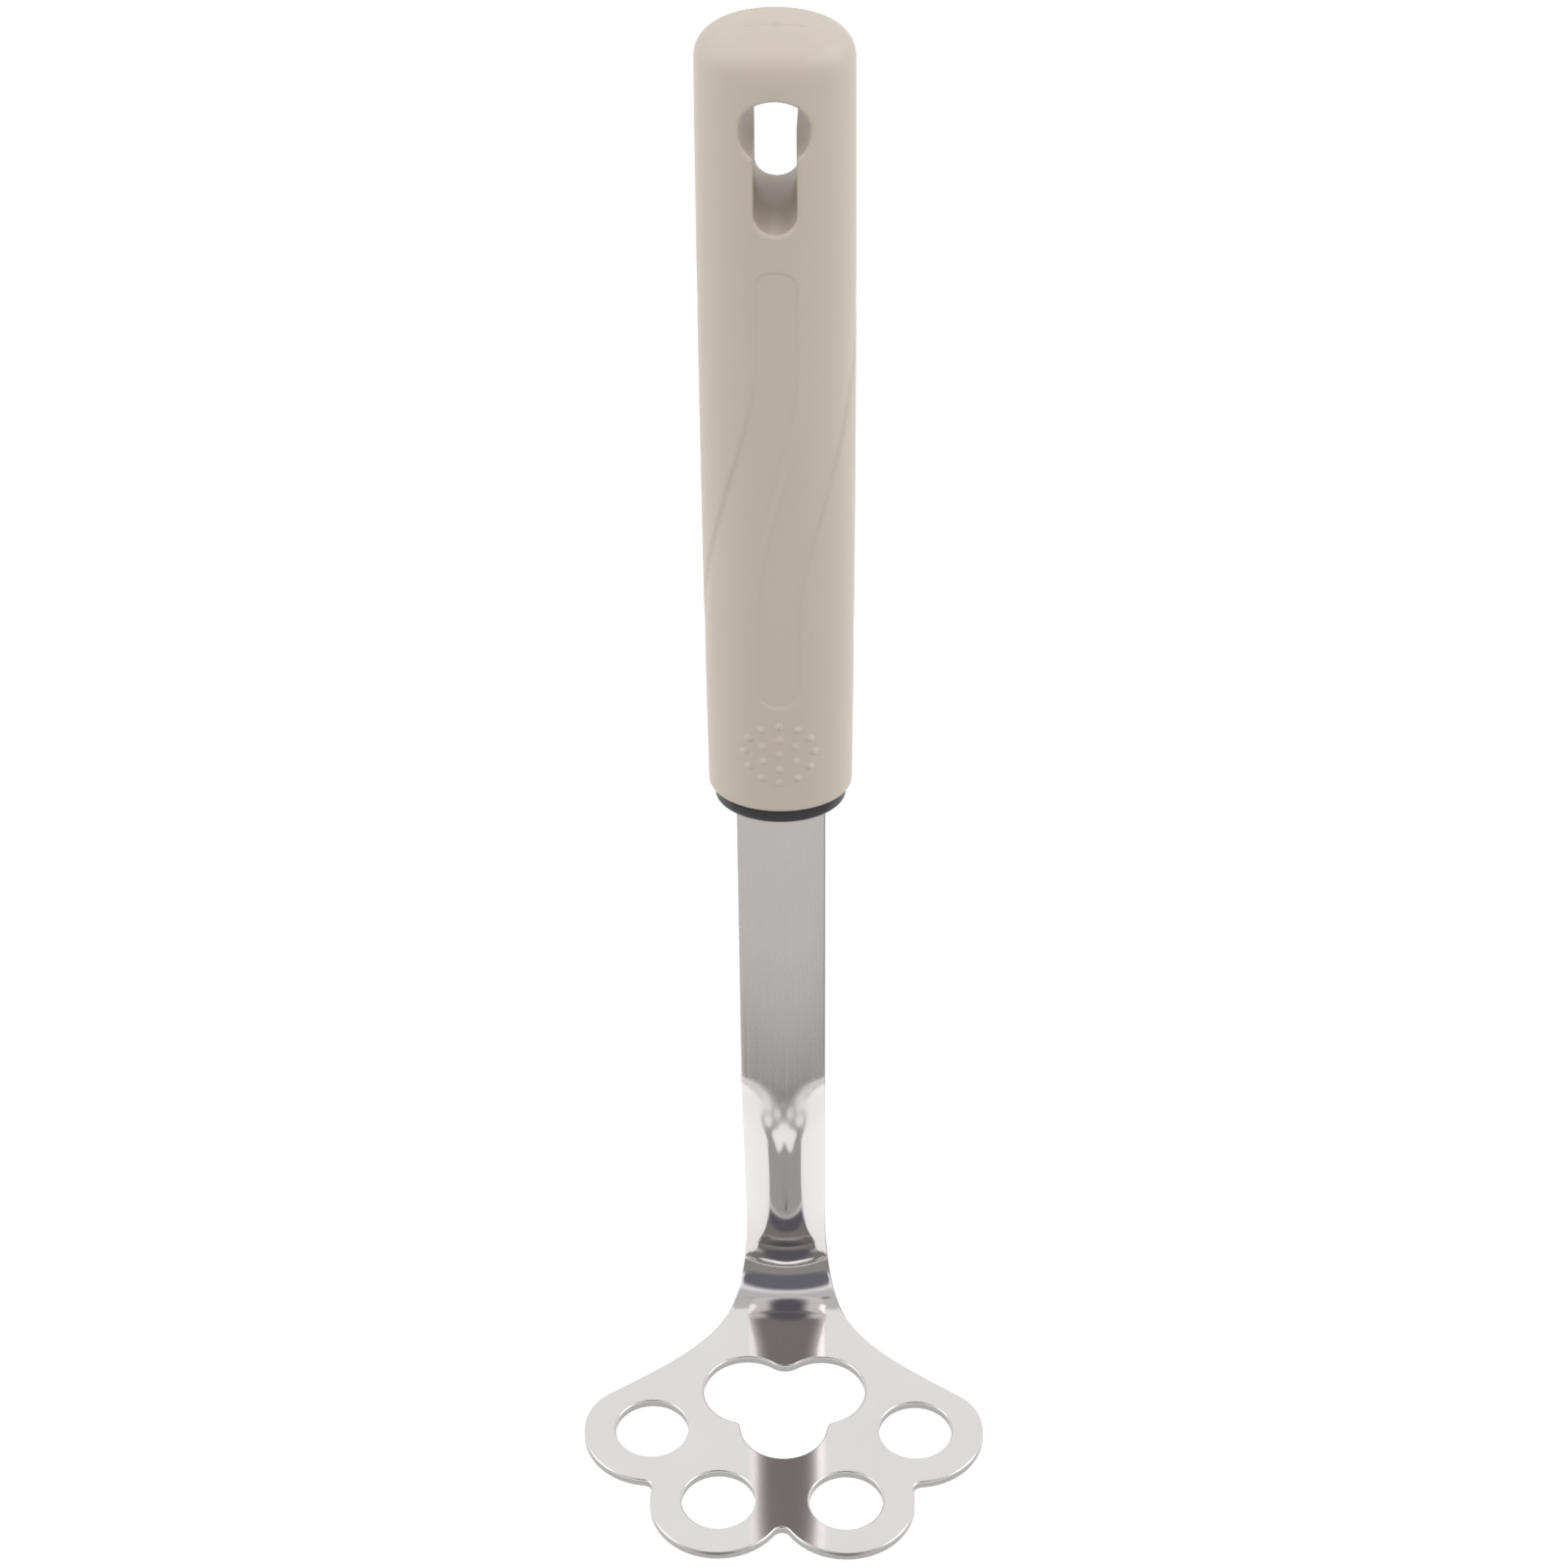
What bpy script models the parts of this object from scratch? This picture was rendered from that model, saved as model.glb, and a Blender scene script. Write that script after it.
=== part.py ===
"""Hand masher with a paw-shaped plate.

One stamped stainless sheet makes the plate, the bend at its heel and the stem.
The stem's upper end is a tang, which a black plug holds inside an oval moulded handle.

Frame: metres, +Z up, the plate lies flat with its underside at Z = 0, its toe points to -Y,
and the origin is under the middle of the object's bounding box.
"""

import math

import bmesh
import bpy

# ---------------------------------------------------------------- driving dimensions (metres)

# Sheet
SHEET = 0.0016
GAP = 0.0003                    # clearance between pieces that touch
WELD = 0.00001                  # points this close are one point

# Plate, seen from above. Rows are measured from the row of the two outer holes.
PLATE_WIDTH = 0.0660
LOBE_RADIUS = 0.0112
HOLE_DIAMETER = 0.0120
TOE_SPACING = 0.0208            # between the two toe holes
TOE_ROW = 0.0151                # from the outer row forward to the toe row
NOTCH_RADIUS = 0.0015           # rounding of the notches between lobes
SHOULDER_RADIUS = 0.0086        # upper corner of an outer lobe
SHOULDER_START = math.radians(12)
SHOULDER_END = math.radians(55.7)
HEEL_ROW = 0.0254               # from the outer row back to the start of the bend
HEEL_HALF_WIDTH = 0.0101        # half the neck where the bend starts
FLARE_REACH = (0.0100, 0.0080)  # how far the flare follows the shoulder, and the neck
FLARE_TAPER = 0.477             # narrowing of the neck per unit of length at the bend

# Three-lobed opening, the pad of the paw
PAD_SPACING = 0.0124            # between its two upper lobes
PAD_UPPER_ROW = 0.0086
PAD_UPPER_RADIUS = 0.00725
PAD_LOWER_ROW = 0.0009
PAD_LOWER_RADIUS = 0.00715
PAD_TIP_RADIUS = 0.0035         # metal tip between the upper lobes
PAD_WAIST_RADIUS = 0.0015       # metal corner between an upper and the lower lobe

# Stem, followed along its front face
BEND_RADIUS = 0.0074            # inner radius at the heel
STEM_LEAN = math.radians(18.9)  # the lower stem leans over the plate
LOWER_STEM = 0.0402             # straight length above the bend
CROOK_RADIUS = 0.0430           # where the stem turns upright
STEM_HALF_WIDTH = 0.0068
NECK_LENGTH = 0.0180            # length over which the neck narrows to the stem
LOWER_BOW = 0.0088              # radius of the stem's rounded front, lower part
UPPER_BOW = 0.0300              # the same, upper part
FADE_START = 0.0120             # the bow starts this far before the end of the bend
LOWER_FADE = 0.0200             # length over which it builds up
UPPER_START = 0.0040            # it starts to flatten this far before the end of the crook
UPPER_FADE = 0.0060             # length over which it flattens
TANG_LENGTH = 0.0420            # above the handle's lower end

# Handle
HANDLE_WIDTH = 0.0214
HANDLE_DEPTH = 0.0156
HANDLE_BELLY = 0.00025          # how much fuller each side is at the middle
HANDLE_BOTTOM = 0.1276
HANDLE_LENGTH = 0.1290
TOP_ROUND = 0.0040
TOP_CROWN = 0.0006
RIM_ROUND = 0.0006
POCKET_WALL = 0.0024
POCKET_ROOF = 0.0152            # solid between the pocket and the hang slot above it

# Hang slot, measured down from the handle's top
EYE_DIAMETER = 0.0098
EYE_DROP = 0.0122
SLOT_WIDTH = 0.0060
SLOT_DROP = 0.0278              # to the slot's rounded lower end

# Grip dots on the front
DOT_RADIUS = 0.00058
DOT_HEIGHT = 0.00035
DOT_RINGS = ((1, 0.0), (6, 0.00277), (12, 0.00533))
DOT_ROW = 0.0112                # centre of the field above the handle's lower end

# Plug
PLUG_LIP = 0.0028               # height that shows below the handle
PLUG_INSET = 0.0009             # how far the lip is set in from the handle's side
PLUG_INSERT = 0.0240            # length inside the pocket
PLUG_WALL = 0.0025              # beside the tang
PLUG_ROUND = 0.0008

# Smoothness
ARC_STEP = math.radians(9)
BEND_STEPS = 14
CROOK_STEPS = 5
FADE_STEPS = 5
LIP_STEPS = 4
STEM_COLUMNS = 12
TURN_STEPS = 56

# ---------------------------------------------------------------- worked-out sizes

LOBE_X = PLATE_WIDTH / 2 - LOBE_RADIUS
TOE_X = TOE_SPACING / 2
BEND_ANGLE = math.pi / 2 + STEM_LEAN
BEND_END = BEND_RADIUS * BEND_ANGLE
LOWER_END = BEND_END + LOWER_STEM
CROOK_END = LOWER_END + CROOK_RADIUS * STEM_LEAN
TOE_REACH = TOE_ROW + LOBE_RADIUS
HEEL_BACK = HEEL_ROW + BEND_RADIUS + SHEET
ROW_Y = (TOE_REACH - HEEL_BACK) / 2
HANDLE_TOP = HANDLE_BOTTOM + HANDLE_LENGTH


# ---------------------------------------------------------------- scene helpers

def clear_scene():
    """Remove every object, so that the model starts alone."""
    for obj in list(bpy.data.objects):
        bpy.data.objects.remove(obj, do_unlink=True)


def new_collection(name):
    """Make a collection in the scene."""
    collection = bpy.data.collections.new(name)
    bpy.context.scene.collection.children.link(collection)
    return collection


def make_material(name, colour, roughness, metallic):
    """Make a Principled material of one colour."""
    material = bpy.data.materials.new(name)
    material.use_nodes = True
    shader = material.node_tree.nodes["Principled BSDF"]
    shader.inputs["Base Color"].default_value = (*colour, 1.0)
    shader.inputs["Roughness"].default_value = roughness
    shader.inputs["Metallic"].default_value = metallic
    return material


def add_object(name, mesh, collection, material=None):
    """Put a mesh in a collection as a named object."""
    obj = bpy.data.objects.new(name, mesh)
    collection.objects.link(obj)
    if material:
        mesh.materials.clear()
        mesh.materials.append(material)
    return obj


def baked_mesh(obj):
    """Return the evaluated mesh of an object and remove the object."""
    bpy.context.view_layer.update()
    graph = bpy.context.evaluated_depsgraph_get()
    mesh = bpy.data.meshes.new_from_object(obj.evaluated_get(graph))
    bpy.data.objects.remove(obj, do_unlink=True)
    return mesh


def face_out(cage):
    """Turn the faces of a closed shape outward."""
    bmesh.ops.recalc_face_normals(cage, faces=cage.faces)
    if cage.calc_volume(signed=True) < 0:
        bmesh.ops.reverse_faces(cage, faces=cage.faces)


def make_cutter(name, mesh, collection):
    """Add a cutting shape that isn't part of the model."""
    cutter = add_object(name, mesh, collection)
    cutter.hide_render = True
    cutter.display_type = "WIRE"
    return cutter


def add_boolean(obj, cutter, operation):
    """Cut an object with a cutter, or join the two."""
    modifier = obj.modifiers.new(cutter.name, "BOOLEAN")
    modifier.operation = operation
    modifier.object = cutter
    modifier.solver = "EXACT"


# ---------------------------------------------------------------- flat outlines

def arc(centre, radius, start, end):
    """Points on an arc from one angle to another, both ends included."""
    count = max(2, math.ceil(abs(end - start) / ARC_STEP))
    angles = [start + (end - start) * i / count for i in range(count + 1)]
    return [(centre[0] + radius * math.cos(a), centre[1] + radius * math.sin(a)) for a in angles]


def bearing(origin, target):
    """Angle of the direction from one point to another."""
    return math.atan2(target[1] - origin[1], target[0] - origin[0])


def fillet_centre(first, first_radius, second, second_radius, fillet, side):
    """Centre of the circle that touches two circles from outside, left (1) or right (-1)."""
    to_first = first_radius + fillet
    to_second = second_radius + fillet
    span = math.dist(first, second)
    along = (span ** 2 + to_first ** 2 - to_second ** 2) / (2 * span)
    across = side * math.sqrt(to_first ** 2 - along ** 2)
    heading = bearing(first, second)
    return (
        first[0] + along * math.cos(heading) - across * math.sin(heading),
        first[1] + along * math.sin(heading) + across * math.cos(heading),
    )


def unwind(start, end, turn):
    """Bring an end angle to the side of the start that the turn (1 or -1) goes to."""
    while turn * (end - start) < 0:
        end += turn * 2 * math.pi
    while turn * (end - start) > 2 * math.pi:
        end -= turn * 2 * math.pi
    return end


def blend_arcs(lobes, fillets):
    """Go round lobes anticlockwise, with a hollow fillet from each lobe to the next.

    lobes holds (centre, radius); fillets holds one radius for each pair of neighbours.
    """
    centres = [
        fillet_centre(lobes[i][0], lobes[i][1], lobes[i + 1][0], lobes[i + 1][1], fillets[i], -1)
        for i in range(len(fillets))
    ]
    points = []
    for i, (fillet, radius) in enumerate(zip(centres, fillets)):
        (lobe, lobe_radius), (following, _) = lobes[i], lobes[i + 1]
        if i > 0:
            start = bearing(lobe, centres[i - 1])
            end = unwind(start, bearing(lobe, fillet), 1)
            points += arc(lobe, lobe_radius, start, end)
        start = bearing(fillet, lobe)
        end = unwind(start, bearing(fillet, following), -1)
        points += arc(fillet, radius, start, end)[1:-1]
    return points, centres


def cubic(p0, p1, p2, p3, count):
    """Points inside a cubic curve, its two ends left out."""
    points = []
    for i in range(1, count):
        t = i / count
        weights = ((1 - t) ** 3, 3 * t * (1 - t) ** 2, 3 * t ** 2 * (1 - t), t ** 3)
        points.append(tuple(sum(w * p[k] for w, p in zip(weights, (p0, p1, p2, p3))) for k in (0, 1)))
    return points


def plate_outline():
    """Outline of the plate up to the start of the bend, anticlockwise, row of outer holes at 0."""
    outer_right = (LOBE_X, 0.0)
    outer_left = (-LOBE_X, 0.0)
    toe_right = (TOE_X, -TOE_ROW)
    toe_left = (-TOE_X, -TOE_ROW)
    lobes = [(c, LOBE_RADIUS) for c in (outer_left, toe_left, toe_right, outer_right)]
    front, centres = blend_arcs(lobes, [NOTCH_RADIUS] * 3)

    # Right outer lobe up to its shoulder, the shoulder, and the flare into the neck
    start = bearing(outer_right, centres[-1])
    lobe = arc(outer_right, LOBE_RADIUS, start, SHOULDER_START)
    inward = LOBE_RADIUS - SHOULDER_RADIUS
    shoulder_centre = (
        outer_right[0] + inward * math.cos(SHOULDER_START),
        outer_right[1] + inward * math.sin(SHOULDER_START),
    )
    shoulder = arc(shoulder_centre, SHOULDER_RADIUS, SHOULDER_START, SHOULDER_END)[1:]
    neck = (HEEL_HALF_WIDTH, HEEL_ROW)
    leave = (-math.sin(SHOULDER_END), math.cos(SHOULDER_END))
    arrive_length = math.hypot(FLARE_TAPER, 1)
    arrive = (-FLARE_TAPER / arrive_length, 1 / arrive_length)
    flare = cubic(
        shoulder[-1],
        (shoulder[-1][0] + FLARE_REACH[0] * leave[0], shoulder[-1][1] + FLARE_REACH[0] * leave[1]),
        (neck[0] - FLARE_REACH[1] * arrive[0], neck[1] - FLARE_REACH[1] * arrive[1]),
        neck,
        10,
    )
    right = lobe + shoulder + flare
    left = [(-x, y) for x, y in reversed(right)]
    columns = [neck[0] * (1 - 2 * i / STEM_COLUMNS) for i in range(STEM_COLUMNS + 1)]
    heel = [(x, HEEL_ROW) for x in columns]
    return front + right + heel + left


def pad_outline():
    """Outline of the three-lobed opening, anticlockwise."""
    right = ((PAD_SPACING / 2, PAD_UPPER_ROW), PAD_UPPER_RADIUS)
    left = ((-PAD_SPACING / 2, PAD_UPPER_ROW), PAD_UPPER_RADIUS)
    lower = ((0.0, PAD_LOWER_ROW), PAD_LOWER_RADIUS)
    lobes = [left, lower, right, left]
    points, centres = blend_arcs(lobes, [PAD_WAIST_RADIUS, PAD_WAIST_RADIUS, PAD_TIP_RADIUS])
    start = bearing(left[0], centres[-1])
    end = unwind(start, bearing(left[0], centres[0]), 1)
    return points + arc(left[0], PAD_UPPER_RADIUS, start, end)


def hole_outline(centre):
    """Outline of one round hole."""
    return arc(centre, HOLE_DIAMETER / 2, 0.0, 2 * math.pi)[:-1]


def flat_curve(name, outlines):
    """2D curve object whose first outline is filled and whose others are holes in it."""
    curve = bpy.data.curves.new(name, "CURVE")
    curve.dimensions = "2D"
    curve.fill_mode = "BOTH"
    for outline in outlines:
        spline = curve.splines.new("POLY")
        spline.points.add(len(outline) - 1)
        for point, (x, y) in zip(spline.points, outline):
            point.co = (x, y, 0.0, 1.0)
        spline.use_cyclic_u = True
    obj = bpy.data.objects.new(name, curve)
    bpy.context.scene.collection.objects.link(obj)
    return obj


# ---------------------------------------------------------------- the sheet

def stem_path(length):
    """Place on the front face's centre line, as (y, z, heading), a length after the bend starts.

    y is measured from the row of outer holes and z from the plate's upper face.
    """
    turned = min(length, BEND_END) / BEND_RADIUS
    y = HEEL_ROW + BEND_RADIUS * math.sin(turned)
    z = BEND_RADIUS * (1 - math.cos(turned))
    heading = turned
    if length > BEND_END:
        straight = min(length, LOWER_END) - BEND_END
        y += straight * math.cos(heading)
        z += straight * math.sin(heading)
    if length > LOWER_END:
        heading = BEND_ANGLE - (min(length, CROOK_END) - LOWER_END) / CROOK_RADIUS
        y += CROOK_RADIUS * (math.sin(BEND_ANGLE) - math.sin(heading))
        z += CROOK_RADIUS * (math.cos(heading) - math.cos(BEND_ANGLE))
    if length > CROOK_END:
        z += length - CROOK_END
    return y, z, heading


def ramp(value, start, length):
    """Smooth step from 0 to 1 over a length."""
    t = min(1.0, max(0.0, (value - start) / length))
    return t * t * (3 - 2 * t)


def half_width(length):
    """Half the sheet's width across the stem, and across the tang, which narrows inside the plug's lip."""
    left = max(0.0, 1 - length / NECK_LENGTH)
    power = FLARE_TAPER * NECK_LENGTH / (HEEL_HALF_WIDTH - STEM_HALF_WIDTH)
    stem = STEM_HALF_WIDTH + (HEEL_HALF_WIDTH - STEM_HALF_WIDTH) * left ** power
    tang = pocket_radius() - 2 * GAP - PLUG_WALL
    narrowing = ramp(length, length_at_height(HANDLE_BOTTOM - PLUG_LIP), PLUG_LIP)
    return stem + (tang - STEM_HALF_WIDTH) * narrowing


def bow(length):
    """Curvature across the stem, which bulges to the front."""
    lower = ramp(length, BEND_END - FADE_START, LOWER_FADE) / LOWER_BOW
    fade = ramp(length, CROOK_END - UPPER_START, UPPER_FADE)
    return lower + fade * (1 / UPPER_BOW - 1 / LOWER_BOW)


def stem_point(length, across, extra=0.0, forward=0.0):
    """Point of the front face; across runs from -1 to 1, extra widens it, forward moves it out."""
    y, z, heading = stem_path(length)
    curvature = max(bow(length), 1e-3)
    reach = half_width(length) + extra
    angle = across * math.asin(min(1.0, reach * curvature))
    radius = 1 / curvature + forward
    back = 1 / curvature - radius * math.cos(angle)
    x = radius * math.sin(angle)
    return (x, ROW_Y + y + back * math.sin(heading), SHEET + z - back * math.cos(heading))


def length_at_height(height):
    """Length along the upright stem at which the front face is at a height."""
    _, z, _ = stem_path(CROOK_END)
    return CROOK_END + height - SHEET - z


def lip_stations():
    """Lengths through the plug's lip, where the stem narrows to the tang."""
    return [length_at_height(HANDLE_BOTTOM - PLUG_LIP * i / LIP_STEPS) for i in range(LIP_STEPS, -1, -1)]


def stations(start, end):
    """Lengths at which the stem has a row of points, close where it bends."""
    inner = [BEND_END * i / BEND_STEPS for i in range(BEND_STEPS + 1)]
    inner += [BEND_END + (LOWER_FADE - FADE_START) * i / FADE_STEPS for i in range(1, FADE_STEPS + 1)]
    inner += [LOWER_END - (LOWER_STEM - LOWER_FADE + FADE_START) / 2, LOWER_END]
    crook = CROOK_END - UPPER_START - LOWER_END
    inner += [LOWER_END + crook * i / CROOK_STEPS for i in range(1, CROOK_STEPS + 1)]
    flattening = CROOK_END - UPPER_START
    inner += [flattening + UPPER_FADE * i / FADE_STEPS for i in range(1, FADE_STEPS + 1)]
    inner += lip_stations()
    return [start] + [s for s in inner if start < s < end] + [end]


def stem_grid(lengths, extra=0.0, forward=0.0):
    """Grid of the stem's front face as a bmesh, one row for each length."""
    grid = bmesh.new()
    bmesh.ops.create_grid(grid, x_segments=STEM_COLUMNS, y_segments=len(lengths) - 1, size=1)
    for vertex in grid.verts:
        row = round((vertex.co.y + 1) / 2 * (len(lengths) - 1))
        vertex.co = stem_point(lengths[row], vertex.co.x, extra, forward)
    grid.normal_update()
    return grid


def thicken(obj, thickness):
    """Give a sheet its thickness, behind its front face."""
    solid = obj.modifiers.new("thickness", "SOLIDIFY")
    solid.thickness = thickness
    solid.offset = -1
    solid.use_even_offset = True


def make_blade(collection, material):
    """Plate, bend, stem and tang as one sheet."""
    holes = [(x, y) for x, y in ((LOBE_X, 0), (-LOBE_X, 0), (TOE_X, -TOE_ROW), (-TOE_X, -TOE_ROW))]
    blank = flat_curve("blank", [plate_outline(), pad_outline()] + [hole_outline(h) for h in holes])
    plate = baked_mesh(blank)
    sheet = stem_grid(stations(0.0, length_at_height(HANDLE_BOTTOM + TANG_LENGTH)))
    plate_part = bmesh.new()
    plate_part.from_mesh(plate)
    bmesh.ops.translate(plate_part, verts=plate_part.verts, vec=(0, ROW_Y, SHEET))
    plate_part.to_mesh(plate)
    plate_part.free()
    sheet.from_mesh(plate)
    bmesh.ops.remove_doubles(sheet, verts=sheet.verts, dist=WELD)
    bmesh.ops.recalc_face_normals(sheet, faces=sheet.faces)
    sheet.normal_update()
    if sum(face.normal.z * face.calc_area() for face in sheet.faces) < 0:
        bmesh.ops.reverse_faces(sheet, faces=sheet.faces)
    mesh = bpy.data.meshes.new("masher_blade")
    sheet.to_mesh(mesh)
    sheet.free()
    blade = add_object("masher_blade", mesh, collection, material)
    thicken(blade, SHEET)
    return blade


# ---------------------------------------------------------------- handle and plug

def quarter(centre_r, centre_z, radius, start, end, count=5):
    """Points (r, z) on a rounded corner of a turned profile."""
    angles = [start + (end - start) * i / count for i in range(count + 1)]
    return [(centre_r + radius * math.cos(a), centre_z + radius * math.sin(a)) for a in angles]


def side_radius(height):
    """Half the handle's width at a height above its lower end."""
    middle = 2 * height / HANDLE_LENGTH - 1
    return HANDLE_WIDTH / 2 + HANDLE_BELLY * (1 - middle ** 2)


def turned_oval(name, profile):
    """Turn a profile of (radius, z) about the handle's axis and press it to the handle's oval."""
    mesh = bpy.data.meshes.new(name)
    mesh.from_pydata([(r, 0.0, z) for r, z in profile], [(i, i + 1) for i in range(len(profile) - 1)], [])
    obj = bpy.data.objects.new(name, mesh)
    bpy.context.scene.collection.objects.link(obj)
    screw = obj.modifiers.new("turn", "SCREW")
    screw.steps = TURN_STEPS
    screw.render_steps = TURN_STEPS
    screw.use_merge_vertices = True
    screw.merge_threshold = WELD
    mesh = baked_mesh(obj)
    cage = bmesh.new()
    cage.from_mesh(mesh)
    bmesh.ops.remove_doubles(cage, verts=cage.verts, dist=WELD)
    bmesh.ops.scale(cage, vec=(1, HANDLE_DEPTH / HANDLE_WIDTH, 1), verts=cage.verts)
    bmesh.ops.translate(cage, vec=(0, handle_y(), 0), verts=cage.verts)
    cage.to_mesh(mesh)
    cage.free()
    return mesh


def handle_y():
    """Where the handle's axis stands: in the middle of the tang's thickness."""
    y, _, _ = stem_path(CROOK_END)
    return ROW_Y + y + SHEET / 2


def pocket_radius():
    """Half the pocket's width."""
    return HANDLE_WIDTH / 2 - POCKET_WALL


def handle_profile():
    """Profile of the handle, from the middle of its top down its outside and up its pocket."""
    top = HANDLE_TOP - TOP_CROWN
    shoulder = side_radius(HANDLE_LENGTH) - TOP_ROUND
    crown = [(shoulder * i / 4, HANDLE_TOP - TOP_CROWN * (i / 4) ** 2) for i in range(4)]
    edge = quarter(shoulder, top - TOP_ROUND, TOP_ROUND, math.pi / 2, 0.0, 7)
    low = HANDLE_BOTTOM + RIM_ROUND
    high = top - TOP_ROUND
    side = []
    for i in range(1, 12):
        z = high + (low - high) * i / 12
        side.append((side_radius(z - HANDLE_BOTTOM), z))
    rim = quarter(side_radius(0) - RIM_ROUND, low, RIM_ROUND, 0.0, -math.pi / 2, 3)
    pocket_top = HANDLE_TOP - SLOT_DROP - POCKET_ROOF
    mouth = (pocket_radius(), HANDLE_BOTTOM)
    roof = quarter(pocket_radius() - TOP_ROUND, pocket_top - TOP_ROUND, TOP_ROUND, 0.0, math.pi / 2)
    return crown + edge + side + rim + [mouth] + roof + [(0.0, pocket_top)]


def keyhole_outline():
    """Round eye with a slot below it, in the plane of X and Z, anticlockwise."""
    eye = (0.0, HANDLE_TOP - EYE_DROP)
    foot = (0.0, HANDLE_TOP - SLOT_DROP + SLOT_WIDTH / 2)
    half = math.asin(SLOT_WIDTH / EYE_DIAMETER)
    around = arc(eye, EYE_DIAMETER / 2, half - math.pi / 2, 3 * math.pi / 2 - half)
    return around + arc(foot, SLOT_WIDTH / 2, math.pi, 2 * math.pi)


def keyhole_mesh():
    """Solid that cuts the hang slot from front to back."""
    curve = flat_curve("keyhole", [keyhole_outline()])
    curve.data.extrude = HANDLE_DEPTH
    mesh = baked_mesh(curve)
    cage = bmesh.new()
    cage.from_mesh(mesh)
    bmesh.ops.remove_doubles(cage, verts=cage.verts, dist=WELD)
    for vertex in cage.verts:
        x, z, y = vertex.co
        vertex.co = (x, handle_y() + y, z)
    face_out(cage)
    cage.to_mesh(mesh)
    cage.free()
    return mesh


def front_of_handle(x, z):
    """y of the handle's front face."""
    radius = side_radius(z - HANDLE_BOTTOM)
    depth = radius * HANDLE_DEPTH / HANDLE_WIDTH
    return handle_y() - depth * math.sqrt(1 - (x / radius) ** 2)


def dots_mesh():
    """Field of round grip dots, in rings about its centre."""
    dots = bmesh.new()
    for count, ring in DOT_RINGS:
        for i in range(count):
            angle = math.pi / 2 + 2 * math.pi * i / count
            x = ring * math.cos(angle)
            z = HANDLE_BOTTOM + DOT_ROW + ring * math.sin(angle)
            made = bmesh.ops.create_uvsphere(dots, u_segments=10, v_segments=6, radius=DOT_RADIUS)
            bmesh.ops.scale(dots, vec=(1, DOT_HEIGHT / DOT_RADIUS, 1), verts=made["verts"])
            bmesh.ops.translate(dots, vec=(x, front_of_handle(x, z), z), verts=made["verts"])
    mesh = bpy.data.meshes.new("grip_dots")
    dots.to_mesh(mesh)
    dots.free()
    return mesh


def make_handle(collection, cutters, material):
    """Moulded handle with its pocket, hang slot and grip dots."""
    handle = add_object("handle_grip", turned_oval("handle_grip", handle_profile()), collection, material)
    add_boolean(handle, make_cutter("keyhole_cutter", keyhole_mesh(), cutters), "DIFFERENCE")
    add_boolean(handle, make_cutter("grip_dots", dots_mesh(), cutters), "UNION")
    return handle


def plug_profile():
    """Profile of the plug, from the middle of its top down its outside."""
    top = HANDLE_BOTTOM + PLUG_INSERT
    body = pocket_radius() - GAP
    lip_top = HANDLE_BOTTOM - GAP
    lip_bottom = HANDLE_BOTTOM - PLUG_LIP
    lip = HANDLE_WIDTH / 2 - PLUG_INSET
    upper = [(0.0, top), (body - PLUG_ROUND, top), (body, top - PLUG_ROUND), (body, lip_top), (lip, lip_top)]
    edge = quarter(lip - PLUG_ROUND, lip_bottom + PLUG_ROUND, PLUG_ROUND, 0.0, -math.pi / 2, 4)
    return upper + edge + [(0.0, lip_bottom)]


def make_plug(collection, cutters, material):
    """Black plug that closes the handle and grips the tang in a slot."""
    plug = add_object("ferrule_plug", turned_oval("ferrule_plug", plug_profile()), collection, material)
    below = HANDLE_BOTTOM - PLUG_LIP - PLUG_ROUND
    above = HANDLE_BOTTOM + PLUG_INSERT + PLUG_ROUND
    span = [length_at_height(below)] + lip_stations() + [length_at_height(above)]
    slot = stem_grid(span, extra=GAP, forward=GAP)
    if any(face.normal.y > 0 for face in slot.faces):
        bmesh.ops.reverse_faces(slot, faces=slot.faces)
    mesh = bpy.data.meshes.new("tang_slot")
    slot.to_mesh(mesh)
    slot.free()
    cutter = make_cutter("tang_slot", mesh, cutters)
    thicken(cutter, SHEET + 2 * GAP)
    add_boolean(plug, cutter, "DIFFERENCE")
    return plug


# ---------------------------------------------------------------- assembly

def main():
    """Build the masher."""
    clear_scene()
    parts = new_collection("paw_masher")
    cutters = new_collection("cutters")
    steel = make_material("stainless_steel", (0.62, 0.60, 0.60), 0.2, 1.0)
    beige = make_material("beige_polypropylene", (0.50, 0.44, 0.36), 0.45, 0.0)
    black = make_material("black_plastic", (0.03, 0.03, 0.03), 0.4, 0.0)
    pieces = [
        make_blade(parts, steel),
        make_handle(parts, cutters, beige),
        make_plug(parts, cutters, black),
    ]
    root = bpy.data.objects.new("masher", None)
    parts.objects.link(root)
    for piece in pieces:
        piece.parent = root
        piece.data.shade_smooth()
        piece.data.set_sharp_from_angle(angle=math.radians(35))


main()
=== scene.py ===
"""Looks of the hand masher: steel sheet, moulded beige handle and black plug.

Everything is in metres in the part's frame: +Z up, the plate lies flat at Z = 0 and its toe
points to -Y. The three visual pieces follow the same formulas as the part, with finer steps,
rounded edges, swirl grooves, grip dots and a rounded hang slot.
"""

import math

import bmesh
import bpy
from mathutils import Matrix, Vector


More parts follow.
